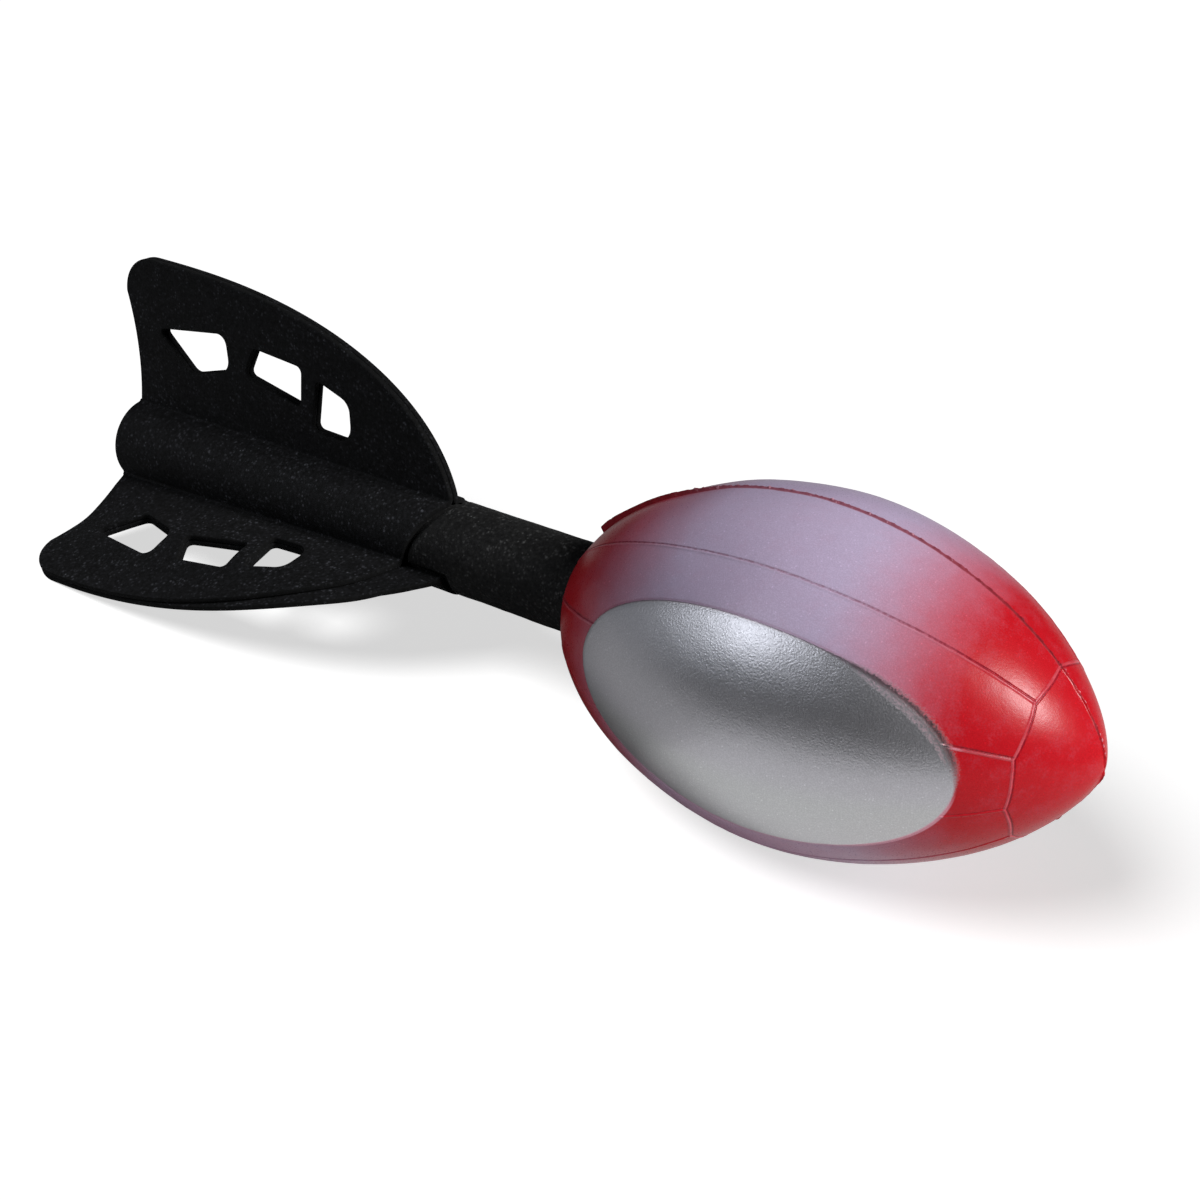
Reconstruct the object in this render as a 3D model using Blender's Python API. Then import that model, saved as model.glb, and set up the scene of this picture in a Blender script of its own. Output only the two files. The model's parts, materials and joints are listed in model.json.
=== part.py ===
# Foam throwing rocket, lying at rest: a moulded foam head shaped like a ball, a foam tube as the
# boom behind it, and a tail of three die-cut foam sheets. Each sheet is folded round a third of
# the boom, and its two wings are glued to the wings of the sheets beside it, so that three sheets
# make three fins of double thickness.
#
# Everything is modelled along the rocket's axis: x is the station, from the tail end at 0 to the
# nose, and z points to the upper fin. An empty then tips the whole rocket until the belly of the
# head and the two lower fins touch the ground. Lengths are in metres, angles in degrees.

import math

import bmesh
import bpy
import numpy as np
from mathutils import Matrix, Vector

# Clearance between pieces that touch or are glued
GAP = 0.0003

# Head: a turned form, each end of it r = HEAD_RADIUS * (1 - x^p)^q
HEAD_RADIUS = 0.0429
HEAD_WIDEST = 0.2277
NOSE_LENGTH = 0.0723
NOSE_CURVE = (1.907, 0.647)
REAR_LENGTH = 0.0757
REAR_CURVE = (1.926, 0.753)
REAR_LIP = 0.0009
SOCKET_DEPTH = 0.030

# Seams moulded on the head as fine raised lines
SEAM_COUNT = 10
SEAM_WIDTH = 0.0013
SEAM_HEIGHT = 0.0003
PARTING_HEIGHT = 0.0006
RING_FROM_NOSE = 0.0124
NOSE_FADE = 0.0030

# Oval panel moulded on each side of the head
OVAL_STATION = 0.2302
OVAL_HALF_LENGTH = 0.0484
OVAL_HALF_HEIGHT = 0.0270
OVAL_RIM_WIDTH = 0.0011
OVAL_RIM_HEIGHT = 0.0003
OVAL_WALL_FROM = 0.5
OVAL_WALL_TO = 1.2

# Boom: a foam tube, squeezed a little where the sheets are glued round it
BOOM_RADIUS = 0.0121
BOOM_BORE = 0.0040
SEAT_SQUEEZE = 0.0015
SEAT_RUNOUT = 0.0020

# Fin sheets
SHEET_THICKNESS = 0.0016
FOLD_RADIUS = 0.0016
SLEEVE_TAIL = 0.0005
SLEEVE_SQUARED = 1 / 3

# Outline of a fin in its own plane: station along the boom, reach from the rocket's axis
FIN_REACH = 0.0559
FIN_TAIL = 0.0010
FIN_FRONT = 0.1200
FIN_NIB = 0.0007
TIP_STATION = 0.0097
TIP_RADIUS = 0.0109
TRAILING_HOLLOW = 0.0017
HOLLOW_FADE = 5.0
LEADING_CURVE = (2.45, 0.44)

# Windows punched through each fin, their corners as (station, reach) and their corner radii
WINDOWS = (
    (((0.0105, 0.0362), 0.0012), ((0.0375, 0.0402), 0.0030), ((0.0386, 0.0300), 0.0040),
     ((0.0230, 0.0255), 0.0035)),
    (((0.0443, 0.0300), 0.0014), ((0.0485, 0.0386), 0.0016), ((0.0662, 0.0372), 0.0018),
     ((0.0655, 0.0258), 0.0016)),
    (((0.0695, 0.0203), 0.0016), ((0.0716, 0.0350), 0.0016), ((0.0832, 0.0312), 0.0040),
     ((0.0838, 0.0198), 0.0045)),
)

# The two lower fins carry the tail. Each is twisted along the boom, bent along a line and swept
# forwards. Angles turn up from the level, given at the tail, at the front, and as the arch between.
LOWER_ROOT = (-47.0, -20.0, 0.0)
LOWER_INNER_LEAN = (-28.0, -10.0, 11.0)
LOWER_OUTER_LEAN = (-11.0, 4.0, -20.5)
BEND_REACH = 0.0326
BEND_LENGTH = 0.0080
LOWER_SWEEP = 0.0050
SWEEP_START = 0.0180
SIDE_SHEET_SETBACK = 0.0080
SIDE_SHEET_SPAN = 0.95
BOTTOM_SHEET_FLARE = 0.0050
FLARE_REACH = 0.0250

# Fineness of the meshes
HEAD_REAR_ROWS = 16
HEAD_NOSE_ROWS = 12
CAP_ROWS = 5
PANEL_COLUMNS = 2
OVAL_POINTS = 48
BOOM_SIDES = 40
RUNOUT_STEPS = 4
TIP_COLUMNS = 6
EDGE_COLUMNS = 15
UPPER_WING_ROWS = 3
LOWER_WING_ROWS = 6
FOLD_ROWS = 3
WRAP_ROWS = 8
CORNER_POINTS = 3

# What follows from the driving sizes
NOSE_STATION = HEAD_WIDEST + NOSE_LENGTH
SEAT_RADIUS = BOOM_RADIUS - SEAT_SQUEEZE
WRAP_RADIUS = SEAT_RADIUS + GAP + SHEET_THICKNESS / 2
LAYER_OFFSET = (GAP + SHEET_THICKNESS) / 2
UPPER_FIN = 90.0
SEAM_STEP = 360.0 / SEAM_COUNT


def clear_scene():
    """Removes every object, so that the file can be run again."""
    for obj in list(bpy.data.objects):
        bpy.data.objects.remove(obj, do_unlink=True)


def make_material(name, colour, roughness):
    """A plain Principled material."""
    material = bpy.data.materials.new(name)
    material.use_nodes = True
    shader = material.node_tree.nodes["Principled BSDF"]
    shader.inputs["Base Color"].default_value = (*colour, 1.0)
    shader.inputs["Roughness"].default_value = roughness
    shader.inputs["Metallic"].default_value = 0.0
    return material


def make_object(name, points, faces, material, parent):
    """An object from points and faces, its faces turned outwards and its round parts smooth.

    Faces are split into triangles, because a twisted quad has no plane for a Boolean to cut.
    """
    mesh = bpy.data.meshes.new(name)
    mesh.from_pydata([tuple(point) for point in points], [], faces)
    edit = bmesh.new()
    edit.from_mesh(mesh)
    bmesh.ops.recalc_face_normals(edit, faces=edit.faces)
    bmesh.ops.triangulate(edit, faces=edit.faces)
    edit.to_mesh(mesh)
    edit.free()
    mesh.shade_smooth()
    mesh.set_sharp_from_angle(angle=math.radians(35))
    obj = bpy.data.objects.new(name, mesh)
    obj.data.materials.append(material)
    obj.parent = parent
    bpy.context.scene.collection.objects.link(obj)
    return obj


def make_guide(obj):
    """Marks an object as a cutter or guide, which is no part of the rocket."""
    obj.hide_render = True
    obj.display_type = "WIRE"


def add_boolean(obj, operation, other):
    """Joins, cuts or crosses an object with another."""
    modifier = obj.modifiers.new(f"{operation.lower()} {other.name}", "BOOLEAN")
    modifier.operation = operation
    modifier.solver = "EXACT"
    modifier.object = other


def grid_faces(rows, columns, wrap_columns):
    """Quads between neighbouring rows and columns of a grid of points, numbered row by row."""
    faces = []
    last = columns if wrap_columns else columns - 1
    for row in range(rows - 1):
        for column in range(last):
            beside = (column + 1) % columns
            faces.append((row * columns + column, row * columns + beside,
                          (row + 1) * columns + beside, (row + 1) * columns + column))
    return faces


# Head

def head_radius_at(station):
    """Radius of the bare head at a station."""
    if station >= HEAD_WIDEST:
        length, (p, q) = NOSE_LENGTH, NOSE_CURVE
    else:
        length, (p, q) = REAR_LENGTH, REAR_CURVE
    x = min(abs(station - HEAD_WIDEST) / length, 1.0)
    return HEAD_RADIUS * (1.0 - x ** p) ** q


def rear_station_of(radius):
    """Station behind the widest section where the bare head has this radius."""
    p, q = REAR_CURVE
    return HEAD_WIDEST - REAR_LENGTH * (1.0 - (radius / HEAD_RADIUS) ** (1.0 / q)) ** (1.0 / p)


SOCKET_RADIUS = BOOM_RADIUS + GAP
HEAD_REAR = rear_station_of(SOCKET_RADIUS + REAR_LIP)
SOCKET_END = HEAD_REAR + SOCKET_DEPTH
RING_STATION = NOSE_STATION - RING_FROM_NOSE


def head_stations():
    """Stations of the head's rows from the rear lip to just before the nose tip, and the ring's."""
    # Rows crowd towards both ends, where the form turns fastest
    rear = [HEAD_WIDEST - (HEAD_WIDEST - HEAD_REAR) * math.cos(math.radians(90 * i / HEAD_REAR_ROWS))
            for i in range(HEAD_REAR_ROWS)]
    ring_rear = RING_STATION - SEAM_WIDTH / 2
    ring_front = RING_STATION + SEAM_WIDTH / 2
    reach = (ring_rear - HEAD_WIDEST) / NOSE_LENGTH
    top = math.degrees(math.asin(reach))
    nose = [HEAD_WIDEST + NOSE_LENGTH * math.sin(math.radians(top * i / HEAD_NOSE_ROWS))
            for i in range(HEAD_NOSE_ROWS + 1)]
    left = NOSE_STATION - ring_front
    cap = [NOSE_STATION - left * (1.0 - i / CAP_ROWS) ** 2 for i in range(1, CAP_ROWS)]
    return rear + nose + [RING_STATION, ring_front] + cap


def in_oval(station, height):
    """Whether a point seen from the side lies inside the oval panel."""
    x = (station - OVAL_STATION) / OVAL_HALF_LENGTH
    z = height / OVAL_HALF_HEIGHT
    return x * x + z * z < 1.0


def seam_height_at(station, angle, seam):
    """How far a seam stands up: not inside the ovals, and past the ring only the parting line."""
    height = head_radius_at(station) * math.sin(math.radians(angle))
    if in_oval(station, height):
        return 0.0
    if seam % (SEAM_COUNT // 2) == 0:
        return PARTING_HEIGHT * min(1.0, (NOSE_STATION - station) / NOSE_FADE)
    return SEAM_HEIGHT if station < RING_STATION else 0.0


def head_row(station, lift, with_seams):
    """Points round the head at a station: each seam's foot, crest and foot, and the panel between."""
    radius = head_radius_at(station) + lift
    half = math.degrees(min(SEAM_WIDTH / 2 / radius, math.radians(SEAM_STEP / 4)))
    points = []
    for seam in range(SEAM_COUNT):
        middle = 90.0 + seam * SEAM_STEP
        panel = SEAM_STEP - 2 * half
        angles = [middle - half, middle, middle + half]
        angles += [middle + half + panel * i / (PANEL_COLUMNS + 1) for i in range(1, PANEL_COLUMNS + 1)]
        for number, angle in enumerate(angles):
            r = radius
            if with_seams:
                on_ring = abs(station - RING_STATION) < GAP / 10
                r += SEAM_HEIGHT if on_ring else 0.0
                if number == 1:
                    r = max(r, radius + seam_height_at(station, angle, seam))
            points.append((station, r * math.cos(math.radians(angle)), r * math.sin(math.radians(angle))))
    return points


def turned_row(station, radius, columns):
    """Points of a plain ring with the head's own columns."""
    return [(station, radius * y / math.hypot(y, z), radius * z / math.hypot(y, z))
            for _, y, z in head_row(HEAD_WIDEST, 0.0, False)[:columns]]


def make_head(material, parent):
    """The head: its outside, the lip round the boom, and the blind socket that takes the boom."""
    rows = [head_row(station, 0.0, True) for station in head_stations()]
    columns = len(rows[0])
    rows.insert(0, turned_row(HEAD_REAR, SOCKET_RADIUS, columns))
    rows.insert(0, turned_row(SOCKET_END, SOCKET_RADIUS, columns))
    points = [point for row in rows for point in row]
    faces = grid_faces(len(rows), columns, True)
    faces.append(tuple(range(columns)))
    tip = len(points)
    points.append((NOSE_STATION, 0.0, 0.0))
    start = tip - columns
    for column in range(columns):
        faces.append((start + column, start + (column + 1) % columns, tip))
    head = make_object("head", points, faces, material, parent)
    add_boolean(head, "UNION", make_oval_rims(material, parent))
    return head


def make_raised_head(material, parent):
    """A plain copy of the head, larger by the height of the oval rims, to shape their tops."""
    rows = [head_row(station, OVAL_RIM_HEIGHT, False) for station in head_stations()]
    columns = len(rows[0])
    points = [point for row in rows for point in row]
    faces = grid_faces(len(rows), columns, True)
    faces.append(tuple(range(columns)))
    faces.append(tuple(range(len(points) - columns, len(points))))
    raised = make_object("raised_head_guide", points, faces, material, parent)
    make_guide(raised)
    return raised


def make_oval_rims(material, parent):
    """Oval walls through both sides of the head, their tops cut to the head's own curve."""
    rings = []
    for side in (-1, 1):
        for depth in (HEAD_RADIUS * OVAL_WALL_FROM, HEAD_RADIUS * OVAL_WALL_TO):
            for edge in (-OVAL_RIM_WIDTH / 2, OVAL_RIM_WIDTH / 2):
                rings.append([(OVAL_STATION + (OVAL_HALF_LENGTH + edge) * math.cos(angle),
                               side * depth,
                               (OVAL_HALF_HEIGHT + edge) * math.sin(angle))
                              for angle in np.linspace(0, 2 * math.pi, OVAL_POINTS, endpoint=False)])
    points = [point for ring in rings for point in ring]
    faces = []
    for side in (0, 1):
        # Inner ring deep, outer ring deep, outer ring proud, inner ring proud
        loop = [4 * side, 4 * side + 1, 4 * side + 3, 4 * side + 2]
        for first, second in zip(loop, loop[1:] + loop[:1]):
            for i in range(OVAL_POINTS):
                j = (i + 1) % OVAL_POINTS
                faces.append((first * OVAL_POINTS + i, first * OVAL_POINTS + j,
                              second * OVAL_POINTS + j, second * OVAL_POINTS + i))
    rims = make_object("oval_rims_guide", points, faces, material, parent)
    make_guide(rims)
    add_boolean(rims, "INTERSECT", make_raised_head(material, parent))
    return rims


# Boom

def leading_station(front, reach):
    """Station where a leading edge that is drawn to a front comes down to a reach."""
    p, q = LEADING_CURVE
    return TIP_STATION + (front - TIP_STATION) * (1.0 - (reach / FIN_REACH) ** (1.0 / q)) ** (1.0 / p)


def seat_end_at(angle):
    """Where the squeezed seat ends at an angle: just past the sheets, which slant at the sides."""
    from_top = abs((angle - UPPER_FIN + 180.0) % 360.0 - 180.0)
    share = from_top / (UPPER_FIN - LOWER_ROOT[1])
    front = leading_station(FIN_FRONT, WRAP_RADIUS + FOLD_RADIUS) + GAP
    if share > SIDE_SHEET_SPAN:
        return front + BOTTOM_SHEET_FLARE
    ease = share * share * (3 - 2 * share)
    return front - SIDE_SHEET_SETBACK * ease


def boom_profile(angle):
    """Stations and radii of the tube at an angle: bore, tail end, squeezed seat, run-out, body."""
    seat_end = seat_end_at(angle)
    front = SOCKET_END - GAP
    profile = [(0.0, BOOM_BORE), (0.0, SEAT_RADIUS), (seat_end, SEAT_RADIUS)]
    for i in range(1, RUNOUT_STEPS + 1):
        share = i / RUNOUT_STEPS
        profile.append((seat_end + SEAT_RUNOUT * share,
                        SEAT_RADIUS + SEAT_SQUEEZE * (1 - math.cos(math.pi * share)) / 2))
    return profile + [(front, BOOM_RADIUS), (front, BOOM_BORE)]


def make_boom(material, parent):
    """The foam tube, made from its profile at every angle."""
    angles = [360.0 * i / BOOM_SIDES for i in range(BOOM_SIDES)]
    profiles = [boom_profile(angle) for angle in angles]
    points = []
    for places in zip(*profiles):
        for angle, (station, radius) in zip(angles, places):
            points.append((station, radius * math.cos(math.radians(angle)),
                           radius * math.sin(math.radians(angle))))
    faces = grid_faces(len(profiles[0]), BOOM_SIDES, True)
    last = (len(profiles[0]) - 1) * BOOM_SIDES
    for i in range(BOOM_SIDES):
        j = (i + 1) % BOOM_SIDES
        faces.append((last + i, last + j, j, i))
    return make_object("boom", points, faces, material, parent)


# Fins

def direction(angle):
    """Unit vector across the axis at an angle from +y towards +z."""
    return np.array([math.cos(angle), math.sin(angle)])


class Fin:
    """A fin's middle surface: where it leaves the boom, and which way it then runs."""

    def __init__(self, side):
        # side is 0 for the upper fin, -1 for the lower fin at -y and 1 for the one at +y
        self.side = side
        self.sweep = LOWER_SWEEP if side else 0.0

    def angles(self, station):
        """Root angle, and the running angles inside and outside the bend, from +y towards +z."""
        if self.side == 0:
            return [math.radians(UPPER_FIN)] * 3
        share = station / FIN_FRONT
        lower = [tail + (front - tail) * share + arch * 4 * share * (1 - share)
                 for tail, front, arch in (LOWER_ROOT, LOWER_INNER_LEAN, LOWER_OUTER_LEAN)]
        return [math.radians(180.0 - angle if self.side < 0 else 360.0 + angle) for angle in lower]

    def frame(self, station):
        """Root point, running direction and normal at the root, in the plane across the axis."""
        root, run, _ = self.angles(station)
        return direction(root) * WRAP_RADIUS, direction(run), direction(run + math.pi / 2)

    def place(self, station, reach):
        """Point of the middle surface at a station and reach, and the normal there.

        The fin runs straight, round the bend and straight again, so that its reach is kept.
        """
        station += self.sweep * max(0.0, (reach - SWEEP_START) / (FIN_REACH - SWEEP_START))
        root, inner, outer = self.angles(station)
        begin = BEND_REACH - BEND_LENGTH / 2
        bent = min(max(reach - begin, 0.0), BEND_LENGTH)
        turned = (outer - inner) * bent / BEND_LENGTH
        chord = bent * np.sinc(turned / 2 / math.pi)
        middle = (direction(root) * WRAP_RADIUS
                  + direction(inner) * (min(reach, begin) - WRAP_RADIUS)
                  + direction(inner + turned / 2) * chord
                  + direction(outer) * max(0.0, reach - begin - BEND_LENGTH))
        return np.array([station, *middle]), direction(inner + turned + math.pi / 2)

    def point(self, station, reach, offset):
        """Point at a station and reach, offset from the middle surface."""
        middle, normal = self.place(station, reach)
        return middle + np.array([0.0, *normal]) * offset

    def fold(self, station, turn):
        """Where a layer on one side of the fin turns on to the boom: fold centre and reach."""
        foot, along, normal = self.frame(station)
        across = foot @ normal + turn * (LAYER_OFFSET + FOLD_RADIUS)
        out = math.sqrt((WRAP_RADIUS + FOLD_RADIUS) ** 2 - across ** 2)
        centre = normal * across + along * out
        return centre, WRAP_RADIUS + out - foot @ along

    def outline(self, front, flare, turn):
        """Outer edge of the fin from its trailing end to its front, with the root's stations.

        The tip is an arc, and the leading edge is reach = FIN_REACH * (1 - x^p)^q, drawn out
        towards the front where it comes down to the boom.
        """
        p, q = LEADING_CURVE
        edge = []
        root = []
        for i in range(TIP_COLUMNS):
            angle = math.pi - math.pi / 2 * i / TIP_COLUMNS
            station = TIP_STATION + TIP_RADIUS * math.cos(angle)
            edge.append((station, FIN_REACH - TIP_RADIUS * (1 - math.sin(angle))))
            root.append(FIN_TAIL + (TIP_STATION - FIN_TAIL) * i / TIP_COLUMNS)
        low = self.fold(front, turn)[1] + FIN_NIB
        end = math.asin((leading_station(front, low) - TIP_STATION) / (front - TIP_STATION))
        for i in range(EDGE_COLUMNS + 1):
            x = math.sin(end * i / EDGE_COLUMNS)
            reach = FIN_REACH * (1.0 - x ** p) ** q
            station = TIP_STATION + (front - TIP_STATION) * x
            station += flare * max(0.0, (FLARE_REACH - reach) / (FLARE_REACH - low))
            edge.append((station, reach))
            root.append(station)
        return edge, root

    def layer_point(self, edge, root, column, share, turn):
        """Point of a layer at a share of the way from the fold to the outer edge."""
        _, low = self.fold(root[column], turn)
        station = root[column] + (edge[column][0] - root[column]) * share
        reach = low + (edge[column][1] - low) * share
        # The hollow of the trailing edge fades out along the fin, so that no columns cross
        fade = max(0.0, 1.0 - (root[column] - root[0]) / (HOLLOW_FADE * TRAILING_HOLLOW)) ** 2
        station += TRAILING_HOLLOW * 4 * share * (1 - share) * fade
        middle, normal = self.place(station, reach)
        return middle + np.array([0.0, *normal]) * turn * LAYER_OFFSET, normal * turn


def arc_between(centre, radius, start, end, steps):
    """Points on an arc and its radial directions, from one point on it to another."""
    first = math.atan2(*(start - centre)[::-1])
    sweep = math.atan2(*(end - centre)[::-1]) - first
    sweep = (sweep + math.pi) % (2 * math.pi) - math.pi
    for i in range(steps + 1):
        angle = first + sweep * i / steps
        out = direction(angle)
        yield centre + out * radius, out


def sheet_column(first, second, fronts, flare, column):
    """Middle surface and outer direction across one column of a sheet, wing tip to wing tip."""
    fins = (first, second)
    wing_rows = [LOWER_WING_ROWS if fin.side else UPPER_WING_ROWS for fin in fins]
    outlines = [fin.outline(front, flare, turn) for fin, front, turn in zip(fins, fronts, (1, -1))]
    points = []
    normals = []
    for row in range(wing_rows[0]):
        share = 1.0 - row / wing_rows[0]
        point, normal = first.layer_point(*outlines[0], column, share, 1)
        points.append(point)
        normals.append(normal)
    stations = [outline[1][column] for outline in outlines]
    # The sleeve's own tail edge is square, whatever the fins' trailing edges do
    along = column / (TIP_COLUMNS + EDGE_COLUMNS)
    tails = [SLEEVE_TAIL + (station - SLEEVE_TAIL) * min(1.0, along / SLEEVE_SQUARED)
             for station in stations]
    folds = []
    for fin, station, turn in zip(fins, stations, (1, -1)):
        centre, reach = fin.fold(station, turn)
        on_wing = fin.point(station, reach, turn * LAYER_OFFSET)[1:]
        on_boom = centre * WRAP_RADIUS / (WRAP_RADIUS + FOLD_RADIUS)
        folds.append((centre, on_wing, on_boom))
    centre, on_wing, on_boom = folds[0]
    for i, (place, out) in enumerate(arc_between(centre, FOLD_RADIUS, on_wing, on_boom, FOLD_ROWS)):
        if i < FOLD_ROWS:
            station = stations[0] + (tails[0] - stations[0]) * i / FOLD_ROWS
            points.append(np.array([station, *place]))
            normals.append(-out)
    begin = math.atan2(*on_boom[::-1])
    sweep = (math.atan2(*folds[1][2][::-1]) - begin) % (2 * math.pi)
    for i in range(WRAP_ROWS + 1):
        share = i / WRAP_ROWS
        angle = begin + sweep * share
        ease = share * share * (3 - 2 * share)
        out = direction(angle)
        points.append(np.array([tails[0] + (tails[1] - tails[0]) * ease, *(out * WRAP_RADIUS)]))
        normals.append(out)
    centre, on_wing, on_boom = folds[1]
    for i, (place, out) in enumerate(arc_between(centre, FOLD_RADIUS, on_boom, on_wing, FOLD_ROWS)):
        if 0 < i:
            station = tails[1] + (stations[1] - tails[1]) * i / FOLD_ROWS
            points.append(np.array([station, *place]))
            normals.append(-out)
    for row in range(1, wing_rows[1] + 1):
        share = row / wing_rows[1]
        point, normal = second.layer_point(*outlines[1], column, share, -1)
        points.append(point)
        normals.append(normal)
    return points, normals


def make_sheet(name, first, second, fronts, flare, cutters, material, parent):
    """One folded sheet: its middle surface, thickened by half the sheet to each side."""
    columns = TIP_COLUMNS + EDGE_COLUMNS + 1
    inner = []
    outer = []
    for column in range(columns):
        points, normals = sheet_column(first, second, fronts, flare, column)
        for point, normal in zip(points, normals):
            across = np.array([0.0, *normal]) * SHEET_THICKNESS / 2
            inner.append(point - across)
            outer.append(point + across)
    rows = len(points)
    faces = grid_faces(columns, rows, False)
    count = len(inner)
    faces += [tuple(index + count for index in reversed(face)) for face in faces]
    rim = list(range(rows))
    rim += [column * rows + rows - 1 for column in range(1, columns)]
    rim += [(columns - 1) * rows + row for row in range(rows - 2, -1, -1)]
    rim += [column * rows for column in range(columns - 2, 0, -1)]
    for here, there in zip(rim, rim[1:] + rim[:1]):
        faces.append((here, there, there + count, here + count))
    sheet = make_object(name, inner + outer, faces, material, parent)
    for fin in (first, second):
        add_boolean(sheet, "DIFFERENCE", cutters[fin])
    return sheet


def rounded_outline(corners):
    """Closed outline through corners, each given with the radius of its rounding."""
    outline = []
    count = len(corners)
    for i, (corner, radius) in enumerate(corners):
        corner = Vector(corner)
        before = (Vector(corners[i - 1][0]) - corner).normalized()
        after = (Vector(corners[(i + 1) % count][0]) - corner).normalized()
        half = before.angle(after) / 2
        centre = corner + (before + after).normalized() * radius / math.sin(half)
        start = corner + before * radius / math.tan(half) - centre
        end = corner + after * radius / math.tan(half) - centre
        for step in range(CORNER_POINTS + 1):
            share = step / CORNER_POINTS
            # Turning from start to end at an even rate keeps the points on the arc
            total = start.angle(end)
            outline.append(centre + (start * math.sin((1 - share) * total)
                                     + end * math.sin(share * total)) / math.sin(total))
    return outline


def make_window_cutter(name, fin, material, parent):
    """The punch for one fin's windows, which follows the fin and passes through both layers."""
    points = []
    faces = []
    depth = LAYER_OFFSET + 2 * SHEET_THICKNESS
    for corners in WINDOWS:
        outline = rounded_outline(corners)
        count = len(outline)
        start = len(points)
        for offset in (-depth, depth):
            points += [fin.point(place.x, place.y, offset) for place in outline]
        faces.append(tuple(range(start, start + count)))
        faces.append(tuple(range(start + 2 * count - 1, start + count - 1, -1)))
        for i in range(count):
            j = (i + 1) % count
            faces.append((start + i, start + j, start + count + j, start + count + i))
    cutter = make_object(name, points, faces, material, parent)
    make_guide(cutter)
    return cutter


def make_fins(material, parent):
    """Three sheets round the boom; the two side sheets stop short at the lower fins' fronts."""
    upper, near, far = Fin(0), Fin(-1), Fin(1)
    cutters = {fin: make_window_cutter(f"window_cutter_{name}", fin, material, parent)
               for name, fin in (("upper", upper), ("near", near), ("far", far))}
    short = FIN_FRONT - SIDE_SHEET_SETBACK
    return [
        make_sheet("fin_sheet_left", upper, near, (FIN_FRONT, short), 0.0, cutters, material, parent),
        make_sheet("fin_sheet_bottom", near, far, (FIN_FRONT, FIN_FRONT), BOTTOM_SHEET_FLARE, cutters,
                   material, parent),
        make_sheet("fin_sheet_right", far, upper, (short, FIN_FRONT), 0.0, cutters, material, parent),
    ]


# Resting on the ground

def resting_place(head, fins):
    """Turn and move that set the head's belly and the lower fins on the ground, centred below.

    The pitch is found by halving: nose up until head and fins reach equally low.
    """
    head_points = np.array([vertex.co for vertex in head.data.vertices])
    fin_points = np.array([vertex.co for fin in fins for vertex in fin.data.vertices])

    def heights(points, pitch):
        return points[:, 0] * math.sin(pitch) + points[:, 2] * math.cos(pitch)

    low, high = math.radians(-20), math.radians(40)
    for _ in range(60):
        pitch = (low + high) / 2
        if heights(head_points, pitch).min() < heights(fin_points, pitch).min():
            low = pitch
        else:
            high = pitch
    points = np.vstack([head_points, fin_points])
    lengths = points[:, 0] * math.cos(pitch) - points[:, 2] * math.sin(pitch)
    middle = (lengths.min() + lengths.max()) / 2
    across = (points[:, 1].min() + points[:, 1].max()) / 2
    lift = heights(points, pitch).min()
    return Matrix.Translation((-middle, -across, -lift)) @ Matrix.Rotation(-pitch, 4, "Y"), pitch


def main():
    clear_scene()
    paint = make_material("head_paint", (0.62, 0.02, 0.03), 0.4)
    tube = make_material("boom_foam", (0.012, 0.012, 0.013), 0.9)
    sheet = make_material("fin_foam", (0.010, 0.010, 0.011), 0.9)
    axis = bpy.data.objects.new("rocket_axis", None)
    bpy.context.scene.collection.objects.link(axis)
    head = make_head(paint, axis)
    make_boom(tube, axis)
    fins = make_fins(sheet, axis)
    axis.matrix_world, pitch = resting_place(head, fins)
    bpy.context.view_layer.update()
    tail = axis.matrix_world @ Vector((0.0, 0.0, 0.0))
    print(f"nose up by {math.degrees(pitch):.4f} degrees, tail end of the axis at "
          f"({tail.x:.6f}, {tail.y:.6f}, {tail.z:.6f})")


main()
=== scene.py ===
# %% [markdown]
# # A foam throwing rocket
#
# The toy has a painted foam head shaped like a ball, a black foam tube behind it, and a tail of
# three die-cut foam sheets folded round the tube. This lesson dresses a model of it that was
# made elsewhere: that model, called the frame here, gives the sizes and the places, and every
# surface that shows is made again below with more detail and a finish of its own.

# %% Load the frame
import json
import math

import bpy
import numpy as np
from mathutils import Matrix, Vector
from mathutils.geometry import delaunay_2d_cdt


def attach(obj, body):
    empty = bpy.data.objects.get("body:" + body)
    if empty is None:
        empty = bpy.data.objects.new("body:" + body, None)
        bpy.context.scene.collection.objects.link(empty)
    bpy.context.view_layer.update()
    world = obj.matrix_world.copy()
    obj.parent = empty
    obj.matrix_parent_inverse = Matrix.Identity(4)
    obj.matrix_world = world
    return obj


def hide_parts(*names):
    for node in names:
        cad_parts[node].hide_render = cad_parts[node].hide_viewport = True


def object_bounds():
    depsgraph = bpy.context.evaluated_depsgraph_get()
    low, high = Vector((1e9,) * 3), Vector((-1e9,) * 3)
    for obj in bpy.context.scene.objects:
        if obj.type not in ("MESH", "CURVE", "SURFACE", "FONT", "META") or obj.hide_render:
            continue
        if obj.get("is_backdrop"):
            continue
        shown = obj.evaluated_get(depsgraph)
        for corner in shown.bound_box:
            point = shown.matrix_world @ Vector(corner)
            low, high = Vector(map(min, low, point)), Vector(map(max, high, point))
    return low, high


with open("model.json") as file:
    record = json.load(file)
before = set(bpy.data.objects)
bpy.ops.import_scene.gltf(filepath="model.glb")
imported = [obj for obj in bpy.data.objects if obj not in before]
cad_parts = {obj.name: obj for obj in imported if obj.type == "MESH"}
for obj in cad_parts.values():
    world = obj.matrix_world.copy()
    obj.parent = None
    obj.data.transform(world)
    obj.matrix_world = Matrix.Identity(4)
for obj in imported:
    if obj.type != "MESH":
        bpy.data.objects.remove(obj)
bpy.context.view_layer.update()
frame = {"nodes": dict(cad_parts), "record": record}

print("nodes of the frame:", sorted(frame["nodes"]))

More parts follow.
